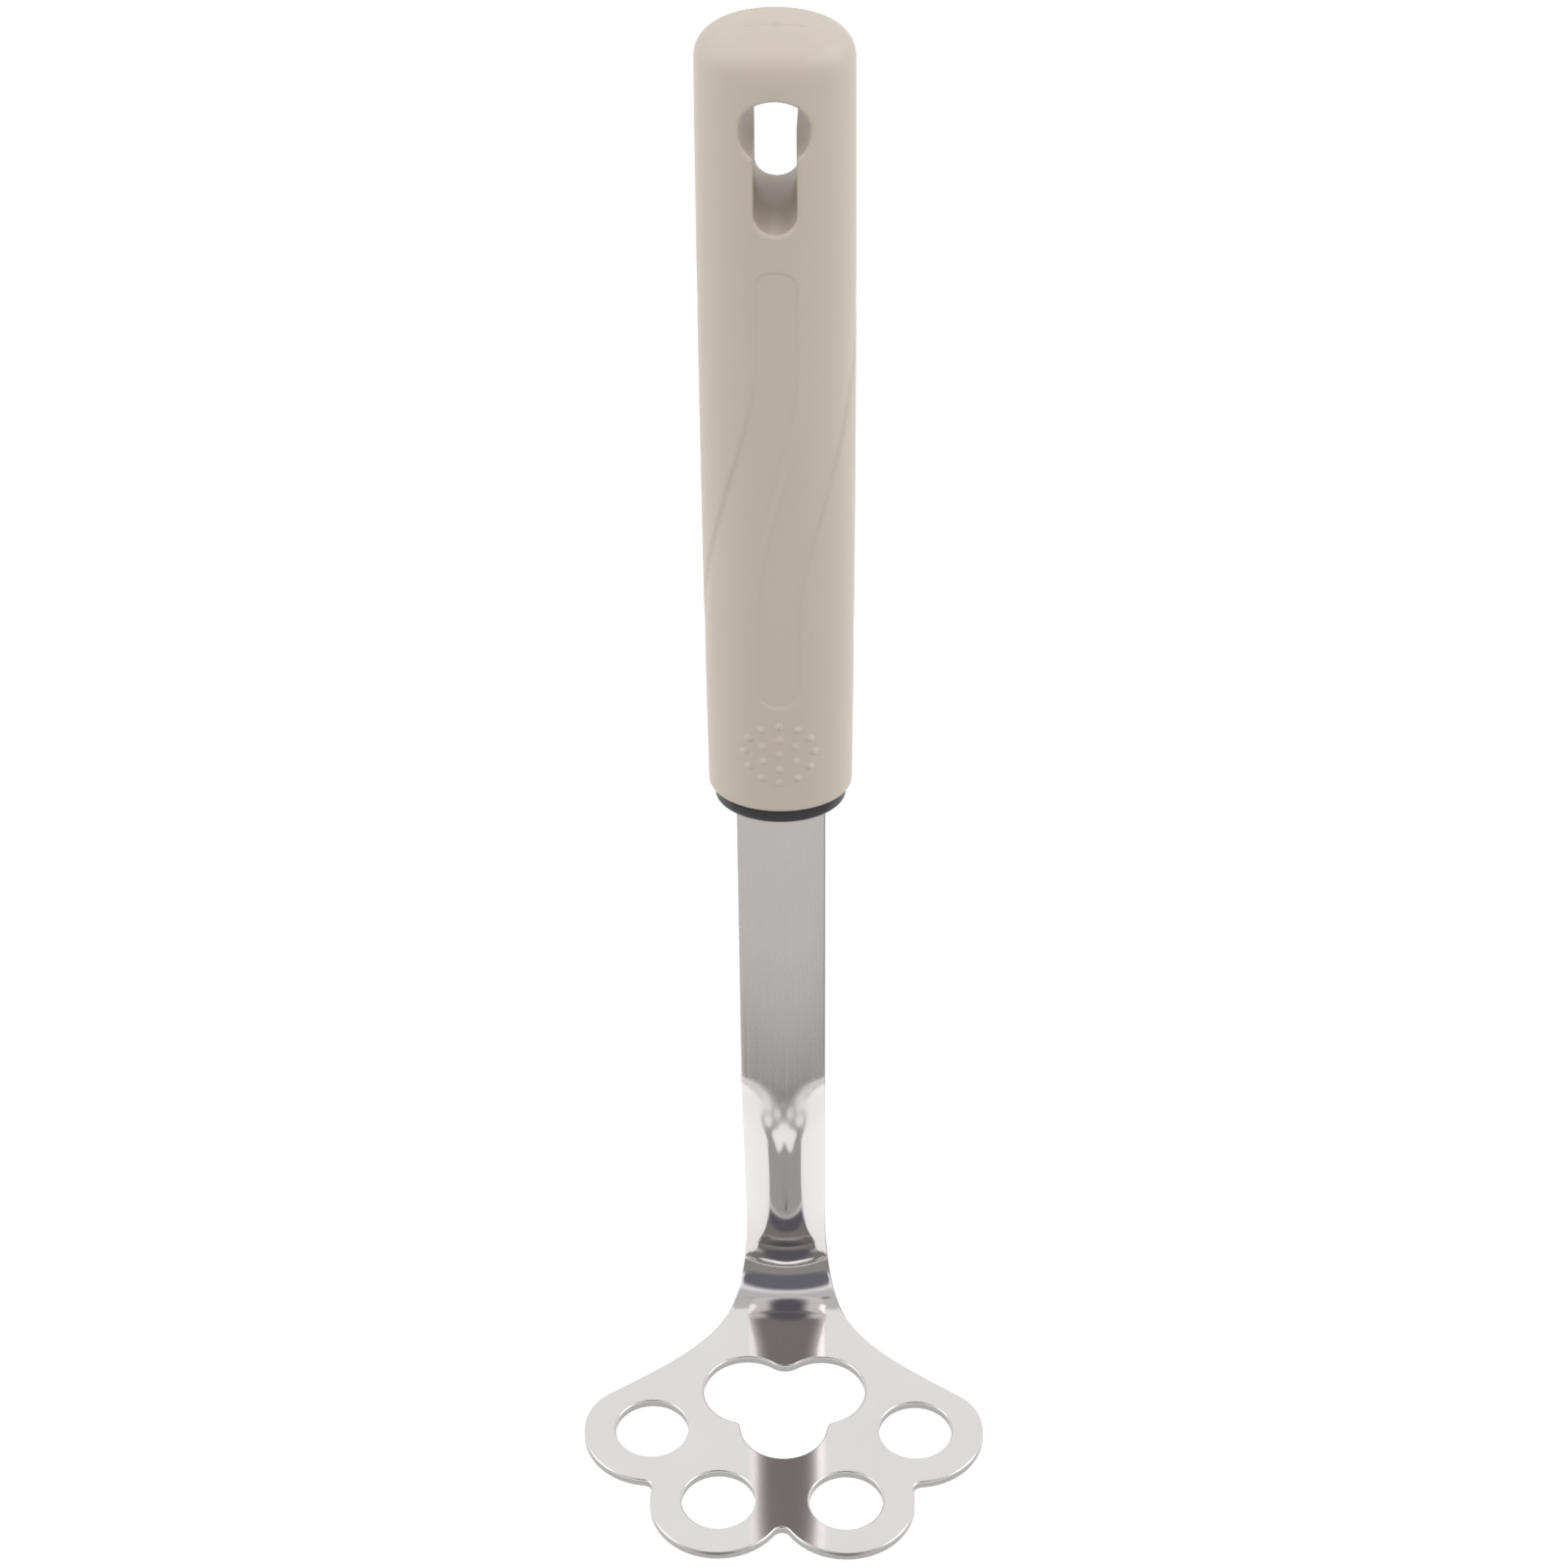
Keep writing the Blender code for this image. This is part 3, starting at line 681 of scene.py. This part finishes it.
def gate_rise(x, y):
    """Raised flash line and gate mark on the handle's top."""
    line = smooth_step(GATE_LINE[0] - abs(y - HANDLE_Y) / GATE_LINE[1])
    line *= smooth_step((GATE_LINE_REACH - abs(x)) / GATE_LINE_END)
    nick = smooth_step(GATE_NICK[0] - math.hypot(x, y - HANDLE_Y) / GATE_NICK[1])
    return GATE_LINE_HEIGHT * line - GATE_NICK_DEPTH * nick


def handle_heights():
    """Heights of the rows down the handle's side, closer where there is detail."""
    high = HANDLE_TOP - TOP_CROWN - TOP_ROUND
    low = HANDLE_BOTTOM + RIM_ROUND
    dots = HANDLE_BOTTOM + DOT_ROW
    hole_high = HANDLE_TOP - EYE_DROP + EYE_RADIUS + HOLE_ROUND
    hole_low = HANDLE_TOP - SLOT_DROP - HOLE_ROUND
    heights, z = [], high
    while z > low + 0.1 * MM:
        heights.append(z)
        if abs(z - dots) < DOT_FIELD + 0.2 * MM:
            step = DOT_STEP
        elif hole_low - 0.3 * MM < z < hole_high + 0.3 * MM:
            step = HOLE_STEP
        elif abs(abs(z - SWIRL_MIDDLE) - SWIRL_HALF) < 2 * MM:
            step = GROOVE_END_STEP
        elif abs(z - SWIRL_MIDDLE) < SWIRL_HALF:
            step = GROOVE_STEP
        else:
            step = PLAIN_STEP
        z -= step * MM
    return heights + [low]


def oval_ring(radius, z, ring):
    """Plain oval row of points."""
    return [
        (radius * math.sin(a), HANDLE_Y - DEPTH_RATIO * radius * math.cos(a), z)
        for a, _ in ring
    ]


def side_ring(z, ring):
    """Row of the handle's side with its grooves, dots and rounded hang-slot rims."""
    radius = side_radius(z)
    half = ring[-1][1]
    points = []
    for a, s in ring:
        x, y = radius * math.sin(a), -DEPTH_RATIO * radius * math.cos(a)
        normal = Vector((math.sin(a) * DEPTH_RATIO, -math.cos(a))).normalized()
        # The back carries the same two grooves, turned half round the handle
        back = s - half if s > 0 else s + half
        depth = 0.0
        for across in (s, back):
            lower = groove_depth(-across, 2 * SWIRL_MIDDLE - z)
            depth = max(depth, groove_depth(across, z), lower)
        out = dot_rise(s, z) - depth - rim_drop(x, z)
        points.append((x + normal.x * out, HANDLE_Y + y + normal.y * out, z))
    return points


def keyhole_cutter():
    """Closed shape of the hang slot, widening from the handle's middle to both faces."""
    eye = (0.0, HANDLE_TOP - EYE_DROP)
    foot = (0.0, HANDLE_TOP - SLOT_DROP + SLOT_HALF)
    rows = []
    for reach, offset in ((-CUT_REACH, CUT_DRAFT * DRAFT), (0.0, 0.0), (CUT_REACH, CUT_DRAFT * DRAFT)):
        eye_radius, slot_half = EYE_RADIUS - DRAFT + offset, SLOT_HALF - DRAFT + offset
        half = math.asin(slot_half / eye_radius)
        around = []
        for i in range(EYE_STEPS + 1):
            a = half - math.pi / 2 + (2 * math.pi - 2 * half) * i / EYE_STEPS
            around.append((eye[0] + eye_radius * math.cos(a), eye[1] + eye_radius * math.sin(a)))
        for i in range(FOOT_STEPS + 1):
            a = math.pi + math.pi * i / FOOT_STEPS
            around.append((foot[0] + slot_half * math.cos(a), foot[1] + slot_half * math.sin(a)))
        rows.append([(x, HANDLE_Y + reach, z) for x, z in around])
    front, back = [[(eye[0], HANDLE_Y + reach, eye[1] - 2 * MM)] for reach in (-CUT_REACH, CUT_REACH)]
    mesh = grid_mesh("keyhole_cutter", [front] + rows + [back], closed=True)
    return add_object("keyhole_cutter", mesh)


def sharpen_keyhole(mesh):
    """Crease the slot's walls at both faces and at the ridge halfway through."""
    edges = bmesh.new()
    edges.from_mesh(mesh)

    # A wall's face lies on the slot's outline and doesn't look to the front or back
    def on_wall(face):
        middle = face.calc_center_median()
        return from_keyhole(middle.x, middle.z) < 0.1 * MM and abs(face.normal.y) < 0.2

    for edge in edges.edges:
        walls = [on_wall(face) for face in edge.link_faces]
        halfway = all(abs(vertex.co.y - HANDLE_Y) < 1e-5 for vertex in edge.verts)
        if any(walls) and (halfway or not all(walls)):
            edge.smooth = False
    edges.to_mesh(mesh)
    edges.free()


def quarter_turn(radius, z, rounding, angles, ring):
    """Oval rows round a corner; the radius and height are those of the rounding's centre."""
    return [
        oval_ring(radius + rounding * math.cos(a), z + rounding * math.sin(a), ring)
        for a in angles
    ]


def make_handle(plastic):
    """Moulded handle: crowned top, oval side, rounded lower rim and the pocket for the plug."""
    slack = 1.0
    ring = oval_angles(OVAL_FINE * slack, OVAL_COARSE * slack, OVAL_FINE_REACH)
    top = HANDLE_TOP - TOP_CROWN
    shoulder = side_radius(HANDLE_TOP) - TOP_ROUND
    rows = [[(0.0, HANDLE_Y, HANDLE_TOP + gate_rise(0.0, HANDLE_Y))]]
    for i in range(1, TOP_ROWS + 1):
        radius = shoulder * i / TOP_ROWS
        height = HANDLE_TOP - TOP_CROWN * (i / TOP_ROWS) ** 2
        rows.append([(x, y, z + gate_rise(x, y)) for x, y, z in oval_ring(radius, height, ring)])
    angles = [math.pi / 2 * (1 - i / SHOULDER_ROWS) for i in range(1, SHOULDER_ROWS)]
    rows += quarter_turn(shoulder, top - TOP_ROUND, TOP_ROUND, angles, ring)
    rows += [side_ring(z, ring) for z in handle_heights()]
    angles = [-math.pi / 2 * i / ROUND_ROWS for i in range(1, ROUND_ROWS + 1)]
    foot = side_radius(HANDLE_BOTTOM) - RIM_ROUND
    rows += quarter_turn(foot, HANDLE_BOTTOM + RIM_ROUND, RIM_ROUND, angles, ring)
    rows.append(oval_ring(POCKET_RADIUS, HANDLE_BOTTOM, ring))
    roof = HANDLE_TOP - POCKET_ROOF
    deep = roof - POCKET_ROUND
    for i in range(1, POCKET_ROWS + 1):
        height = HANDLE_BOTTOM + (deep - HANDLE_BOTTOM) * i / POCKET_ROWS
        rows.append(oval_ring(POCKET_RADIUS, height, ring))
    angles = [math.pi / 2 * i / ROUND_ROWS for i in range(1, ROUND_ROWS + 1)]
    rows += quarter_turn(POCKET_RADIUS - POCKET_ROUND, deep, POCKET_ROUND, angles, ring)
    rows.append([(0.0, HANDLE_Y, roof)])
    # The ring ends where it starts, so that the last point of a row is left out
    rows = [row[:-1] if len(row) > 1 and math.dist(row[0], row[-1]) < 1e-9 else row for row in rows]
    handle = add_object("handle_skin", grid_mesh("handle_skin", rows, closed=True))
    cut(handle, keyhole_cutter())
    dress(handle, plastic, 50)
    sharpen_keyhole(handle.data)
    return handle


def slot_cutter(low, high):
    """Closed shape of the plug's slot, which follows the stem."""
    columns = range(SLOT_COLUMNS + 1)
    loops = []
    for i in range(SLOT_ROWS + 1):
        length = low + (high - low) * i / SLOT_ROWS
        front = [stem_point(length, 1 - 2 * j / SLOT_COLUMNS, SLOT_GAP, SLOT_GAP) for j in columns]
        back = [stem_point(length, 2 * j / SLOT_COLUMNS - 1, SLOT_GAP, -SHEET - SLOT_GAP) for j in columns]
        loops.append(front + back)
    loops = [[centre_of(loops[0])]] + loops + [[centre_of(loops[-1])]]
    return add_object("slot_cutter", grid_mesh("slot_cutter", loops, closed=True))


def make_plug(plastic):
    """Black plug: rounded lip below the handle, body inside it, slot round the stem."""
    ring = oval_angles(PLUG_STEP, PLUG_STEP, 0.0)[:-1]
    lip = HANDLE_RADIUS - PLUG_INSET
    body = POCKET_RADIUS - PLUG_GAP
    low = HANDLE_BOTTOM - PLUG_LIP
    top = HANDLE_BOTTOM + PLUG_INSERT
    seat = HANDLE_BOTTOM - PLUG_GAP
    rows = [[(0.0, HANDLE_Y, top)]]
    for radius, height in (
        (body - PLUG_ROUND, top),
        (body, top - PLUG_ROUND),
        (body, seat),
        (lip - LIP_ROUND, seat),
        (lip, seat - LIP_ROUND),
    ):
        rows.append(oval_ring(radius, height, ring))
    angles = [-math.pi / 2 * i / LIP_ROWS for i in range(LIP_ROWS + 1)]
    rows += quarter_turn(lip - PLUG_ROUND, low + PLUG_ROUND, PLUG_ROUND, angles, ring)
    rows.append([(0.0, HANDLE_Y, low)])
    plug = add_object("plug_skin", grid_mesh("plug_skin", rows, closed=True))
    cut(plug, slot_cutter(length_at_height(low - MM), length_at_height(top + MM)))
    dress(plug, plastic, 40)
    return plug


def centre_of(points):
    """Mean of some points."""
    return tuple(sum(p[k] for p in points) / len(points) for k in range(3))


# ---------------------------------------------------------------- materials

SATIN_FROM = (0.044, 0.066)         # heights over which the polished stem turns satin
POLISHED_FROM = (0.0018, 0.0080)    # heights over which the plate's finish turns polished
CLOUD_SPREAD = 0.04                 # spread of the steel's roughness, everywhere
STREAK_SPREAD = 0.14                # and along the satin stem
STEEL_RELIEF = 0.0000009
PLASTIC_RELIEF = 0.00002


def new_material(name):
    """Material with its node tree, shader and a node maker."""
    material = bpy.data.materials.new(name)
    material.use_nodes = True
    tree = material.node_tree
    shader = tree.nodes["Principled BSDF"]

    def node(kind, **settings):
        made = tree.nodes.new(kind)
        for key, value in settings.items():
            if key in made.inputs:
                made.inputs[key].default_value = value
            else:
                setattr(made, key, value)
        return made

    return material, shader, node, tree.links.new


def stretched_noise(node, link, source, scale, detail):
    """Noise on coordinates scaled by a different amount along each axis."""
    mapping = node("ShaderNodeMapping")
    mapping.inputs["Scale"].default_value = scale
    link(source, mapping.inputs["Vector"])
    noise = node("ShaderNodeTexNoise", Scale=1.0, Detail=detail)
    link(mapping.outputs["Vector"], noise.inputs["Vector"])
    return noise.outputs["Fac"]


def math_node(node, link, operation, a, b):
    """One arithmetic node; a and b are sockets or numbers."""
    made = node("ShaderNodeMath", operation=operation)
    for socket, value in zip(made.inputs, (a, b)):
        if isinstance(value, (int, float)):
            socket.default_value = value
        else:
            link(value, socket)
    return made.outputs[0]


def ramp_between(node, link, value, low, high):
    """0 below low, 1 above high, smooth between."""
    made = node("ShaderNodeMapRange", interpolation_type="SMOOTHSTEP")
    made.inputs["From Min"].default_value = low
    made.inputs["From Max"].default_value = high
    link(value, made.inputs["Value"])
    return made.outputs["Result"]


def add_tint(node, link, shader, factor, first, second):
    """Base colour that goes from one colour to another."""
    tint = node("ShaderNodeMix", data_type="RGBA")
    tint.inputs["A"].default_value = (*first, 1.0)
    tint.inputs["B"].default_value = (*second, 1.0)
    link(factor, tint.inputs["Factor"])
    link(tint.outputs["Result"], shader.inputs["Base Color"])


def add_bump(node, link, shader, height, strength, distance):
    """Fine relief in the surface's shading."""
    bump = node("ShaderNodeBump", Strength=strength, Distance=distance)
    link(height, bump.inputs["Height"])
    link(bump.outputs["Normal"], shader.inputs["Normal"])


def steel_material(name, plate_rough, polished_rough, satin_rough, colour, grain):
    """Rolled stainless steel: fine-grained plate, polished low stem, lengthwise satin streaks above."""
    material, shader, node, link = new_material(name)
    coords = node("ShaderNodeTexCoord").outputs["Object"]
    split = node("ShaderNodeSeparateXYZ")
    link(coords, split.inputs[0])
    height = split.outputs["Z"]
    satin = ramp_between(node, link, height, *SATIN_FROM)
    above_plate = ramp_between(node, link, height, *POLISHED_FROM)

    streaks = stretched_noise(node, link, coords, (2600, 2600, 9), 3.0)
    fine_streaks = stretched_noise(node, link, coords, (7000, 7000, 30), 2.0)
    plate_grain = stretched_noise(node, link, coords, (5200, 5200, 5200), 3.0)
    clouds = stretched_noise(node, link, coords, (90, 90, 90), 3.0)

    def calc(operation, a, b):
        return math_node(node, link, operation, a, b)

    base = calc("ADD", plate_rough, calc("MULTIPLY", above_plate, polished_rough - plate_rough))
    base = calc("ADD", base, calc("MULTIPLY", satin, satin_rough - polished_rough))
    spread = calc("MULTIPLY", calc("SUBTRACT", clouds, 0.5), CLOUD_SPREAD)
    streak_spread = calc("MULTIPLY", calc("SUBTRACT", streaks, 0.5), STREAK_SPREAD)
    streak_spread = calc("MULTIPLY", streak_spread, satin)
    link(calc("ADD", calc("ADD", base, spread), streak_spread), shader.inputs["Roughness"])

    lines = calc("ADD", streaks, calc("MULTIPLY", fine_streaks, 0.5))
    relief_stem = calc("MULTIPLY", lines, calc("MULTIPLY", satin, grain))
    on_plate = calc("SUBTRACT", 1.0, above_plate)
    relief_plate = calc("MULTIPLY", plate_grain, calc("MULTIPLY", on_plate, grain))
    add_bump(node, link, shader, calc("ADD", relief_stem, relief_plate), 1.0, STEEL_RELIEF)

    darker = tuple(part * share for part, share in zip(colour, (0.93, 0.925, 0.925)))
    add_tint(node, link, shader, clouds, colour, darker)
    shader.inputs["Metallic"].default_value = 1.0
    return material


def beige_material():
    """Satin polypropylene: soft mottling, fine mould grain, a little light scattered inside."""
    material, shader, node, link = new_material("beige_polypropylene")
    coords = node("ShaderNodeTexCoord").outputs["Object"]
    clouds = stretched_noise(node, link, coords, (60, 60, 25), 3.0)
    flow = stretched_noise(node, link, coords, (420, 420, 60), 2.0)
    grain = stretched_noise(node, link, coords, (5200, 5200, 5200), 2.0)
    peel = stretched_noise(node, link, coords, (900, 900, 900), 2.0)
    add_tint(node, link, shader, clouds, (0.486, 0.427, 0.360), (0.464, 0.406, 0.341))
    rough = math_node(node, link, "ADD", 0.40, math_node(node, link, "MULTIPLY", flow, 0.10))
    link(rough, shader.inputs["Roughness"])
    relief = math_node(node, link, "ADD", grain, math_node(node, link, "MULTIPLY", peel, 1.4))
    add_bump(node, link, shader, relief, 0.5, PLASTIC_RELIEF)
    shader.inputs["Subsurface Weight"].default_value = 0.12
    shader.inputs["Subsurface Radius"].default_value = (0.0012, 0.0008, 0.0005)
    shader.inputs["Subsurface Scale"].default_value = 1.0
    shader.inputs["Specular IOR Level"].default_value = 0.8
    return material


def black_material():
    """Black satin moulding with a faint grain."""
    material, shader, node, link = new_material("black_plastic")
    coords = node("ShaderNodeTexCoord").outputs["Object"]
    grain = stretched_noise(node, link, coords, (4200, 4200, 4200), 3.0)
    add_tint(node, link, shader, grain, (0.016, 0.016, 0.017), (0.022, 0.022, 0.023))
    rough = math_node(node, link, "ADD", 0.36, math_node(node, link, "MULTIPLY", grain, 0.12))
    link(rough, shader.inputs["Roughness"])
    add_bump(node, link, shader, grain, 0.4, PLASTIC_RELIEF)
    return material


# ---------------------------------------------------------------- stage, light and camera

FLOOR = ((-3, -3), (3, -3), (3, 3), (-3, 3))
# Painted shade: a dimmer stretch of floor in front of the toes, which the camera doesn't see but the steel
# reflects
SHADED_FRONT_FLOOR = (
    (-0.034, -0.0308), (-0.2, -0.06), (-3, -0.9), (-3, -3),
    (3, -3), (3, -0.05), (0.4, -0.012), (0.036, -0.0308),
)
# A darker strip of floor just in front of the toes, which the camera doesn't see but the steel reflects
DARK_FRONT_STRIP = ((-0.034, -0.0309), (-0.06, -0.060), (0.3, -0.060), (0.3, -0.02), (0.036, -0.0309))
FLOOR_LEVEL = -0.0002               # just under the plate
SHADED_FLOOR_LEVEL = 0.0006
STRIP_LEVEL = 0.0009

# World colours, as seen in the steel
SURROUND = (1.07, 1.075, 1.085)
FRONT_LOW = (0.35, 0.34, 0.335)
FRONT_HIGH = (0.18, 0.185, 0.215)
ZENITH = (0.66, 0.66, 0.67)

# Camera, fitted to the photograph
CAMERA_PLACE = (0.00979, -0.47827, 0.54532)
CAMERA_YAW = math.radians(1.081)
CAMERA_PITCH = math.radians(40.393)
CAMERA_ROLL = math.radians(-0.421)
SENSOR_WIDTH = 36.0
LENS = 99.0


def stage_card(name, outline, level, colour, glow, seen=False):
    """Flat card that isn't part of the object: the floor, or a card that the camera doesn't see."""
    mesh = bpy.data.meshes.new(name)
    mesh.from_pydata([(x, y, level) for x, y in outline], [], [tuple(range(len(outline)))])
    card = add_object(name, mesh)
    material, shader, _, _ = new_material(name)
    shader.inputs["Base Color"].default_value = (*colour, 1.0)
    shader.inputs["Roughness"].default_value = 0.9
    shader.inputs["Specular IOR Level"].default_value = 0.0
    shader.inputs["Emission Color"].default_value = (1.0, 1.0, 1.0, 1.0)
    shader.inputs["Emission Strength"].default_value = glow
    mesh.materials.append(material)
    card.visible_camera = seen
    card.visible_shadow = seen


def area_light(name, place, target, size, power):
    """Soft rectangular light."""
    data = bpy.data.lights.new(name, "AREA")
    data.shape = "RECTANGLE"
    data.size, data.size_y = size
    data.energy = power
    light = add_object(name, data)
    light.location = place
    aim = Vector(target) - Vector(place)
    light.rotation_euler = aim.to_track_quat("-Z", "Y").to_euler()
    return light


def make_camera():
    """Camera at the photograph's angle: 99 mm lens, looking down 40.4 degrees from the toe side."""
    tilt, turned = math.sin(CAMERA_ROLL), math.cos(CAMERA_ROLL)
    down, level = math.sin(CAMERA_PITCH), math.cos(CAMERA_PITCH)
    turn = Matrix.Rotation(CAMERA_YAW, 3, "Z")
    right = turn @ Vector((turned, tilt * down, tilt * level))
    up = turn @ Vector((-tilt, turned * down, turned * level))
    back = right.cross(up)
    data = bpy.data.cameras.new("camera")
    data.sensor_width = SENSOR_WIDTH
    data.lens = LENS
    data.clip_start = 0.01
    camera = add_object("camera", data)
    facing = Matrix((right, up, back)).transposed().to_4x4()
    camera.matrix_world = Matrix.Translation(CAMERA_PLACE) @ facing
    bpy.context.scene.camera = camera


def make_world():
    """White surround, mid-grey low at the front, with a dark spot above that and a dimmer zenith."""
    world = bpy.data.worlds.new("surround")
    bpy.context.scene.world = world
    world.use_nodes = True
    tree = world.node_tree
    coords = tree.nodes.new("ShaderNodeTexCoord").outputs["Generated"]

    def along(direction, low, high):
        dot = tree.nodes.new("ShaderNodeVectorMath")
        dot.operation = "DOT_PRODUCT"
        dot.inputs[1].default_value = direction
        tree.links.new(coords, dot.inputs[0])
        fade = tree.nodes.new("ShaderNodeMapRange")
        fade.interpolation_type = "SMOOTHSTEP"
        fade.inputs["From Min"].default_value = low
        fade.inputs["From Max"].default_value = high
        tree.links.new(dot.outputs["Value"], fade.inputs["Value"])
        return fade.outputs["Result"]

    def blend(factor, first, second):
        tone = tree.nodes.new("ShaderNodeMix")
        tone.data_type = "RGBA"
        tree.links.new(factor, tone.inputs["Factor"])
        for name, value in (("A", first), ("B", second)):
            if isinstance(value, tuple):
                tone.inputs[name].default_value = (*value, 1.0)
            else:
                tree.links.new(value, tone.inputs[name])
        return tone.outputs["Result"]

    low = blend(along((0.0, -1.0, 0.0), 0.25, 0.80), SURROUND, FRONT_LOW)
    tone = blend(along((0.0, 0.0, 1.0), 0.45, 0.62), low, SURROUND)
    tone = blend(along((0.0, -0.76, 0.65), 0.90, 0.97), tone, FRONT_HIGH)
    tone = blend(along((0.0, 0.0, 1.0), 0.88, 0.96), tone, ZENITH)
    tree.links.new(tone, tree.nodes["Background"].inputs["Color"])


# ---------------------------------------------------------------- assembly

def main():
    """Build the pieces, tie them to the frame, and set the stage."""
    scene = bpy.context.scene
    scene.view_settings.view_transform = "Standard"
    make_camera()
    make_world()

    steel = steel_material("stainless_steel", 0.085, 0.06, 0.27, (0.70, 0.675, 0.670), 1.0)
    edge_steel = steel_material("stamped_steel_edge", 0.30, 0.22, 0.32, (0.40, 0.39, 0.385), 3.0)
    blade = make_blade(steel, edge_steel)
    handle = make_handle(beige_material())
    plug = make_plug(black_material())
    for piece, node, slot in (
        (blade, "masher_blade", "stainless_steel"),
        (handle, "handle_grip", "beige_plastic"),
        (plug, "ferrule_plug", "black_plastic"),
    ):
        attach(piece, "root")
        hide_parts(node)

    stage_card("floor", FLOOR, FLOOR_LEVEL, (0.30, 0.30, 0.30), 0.80, seen=True)
    # Painted shade on the floor in front, a dim glowing card seen only in the steel's reflections
    stage_card("shaded_front_floor", SHADED_FRONT_FLOOR, SHADED_FLOOR_LEVEL, (0.27, 0.262, 0.25), 0.34)
    # Darker strip in front of the toes, a dim card seen only in the steel's reflections
    stage_card("dark_front_strip", DARK_FRONT_STRIP, STRIP_LEVEL, (0.15, 0.148, 0.145), 0.05)
    area_light("overhead", (0.0, -0.15, 1.5), (0, 0, 0.1), (1.2, 0.9), 1.6).visible_glossy = False
    for side, power in ((-1, 2.9), (1, 4.6)):
        area_light("side", (1.2 * side, -0.1, 1.0), (0, 0, 0.15), (1.0, 1.2), power)
        area_light("front", (0.8 * side, -1.0, 1.0), (0, 0, 0.15), (0.6, 0.6), 4.5).visible_glossy = False


main()
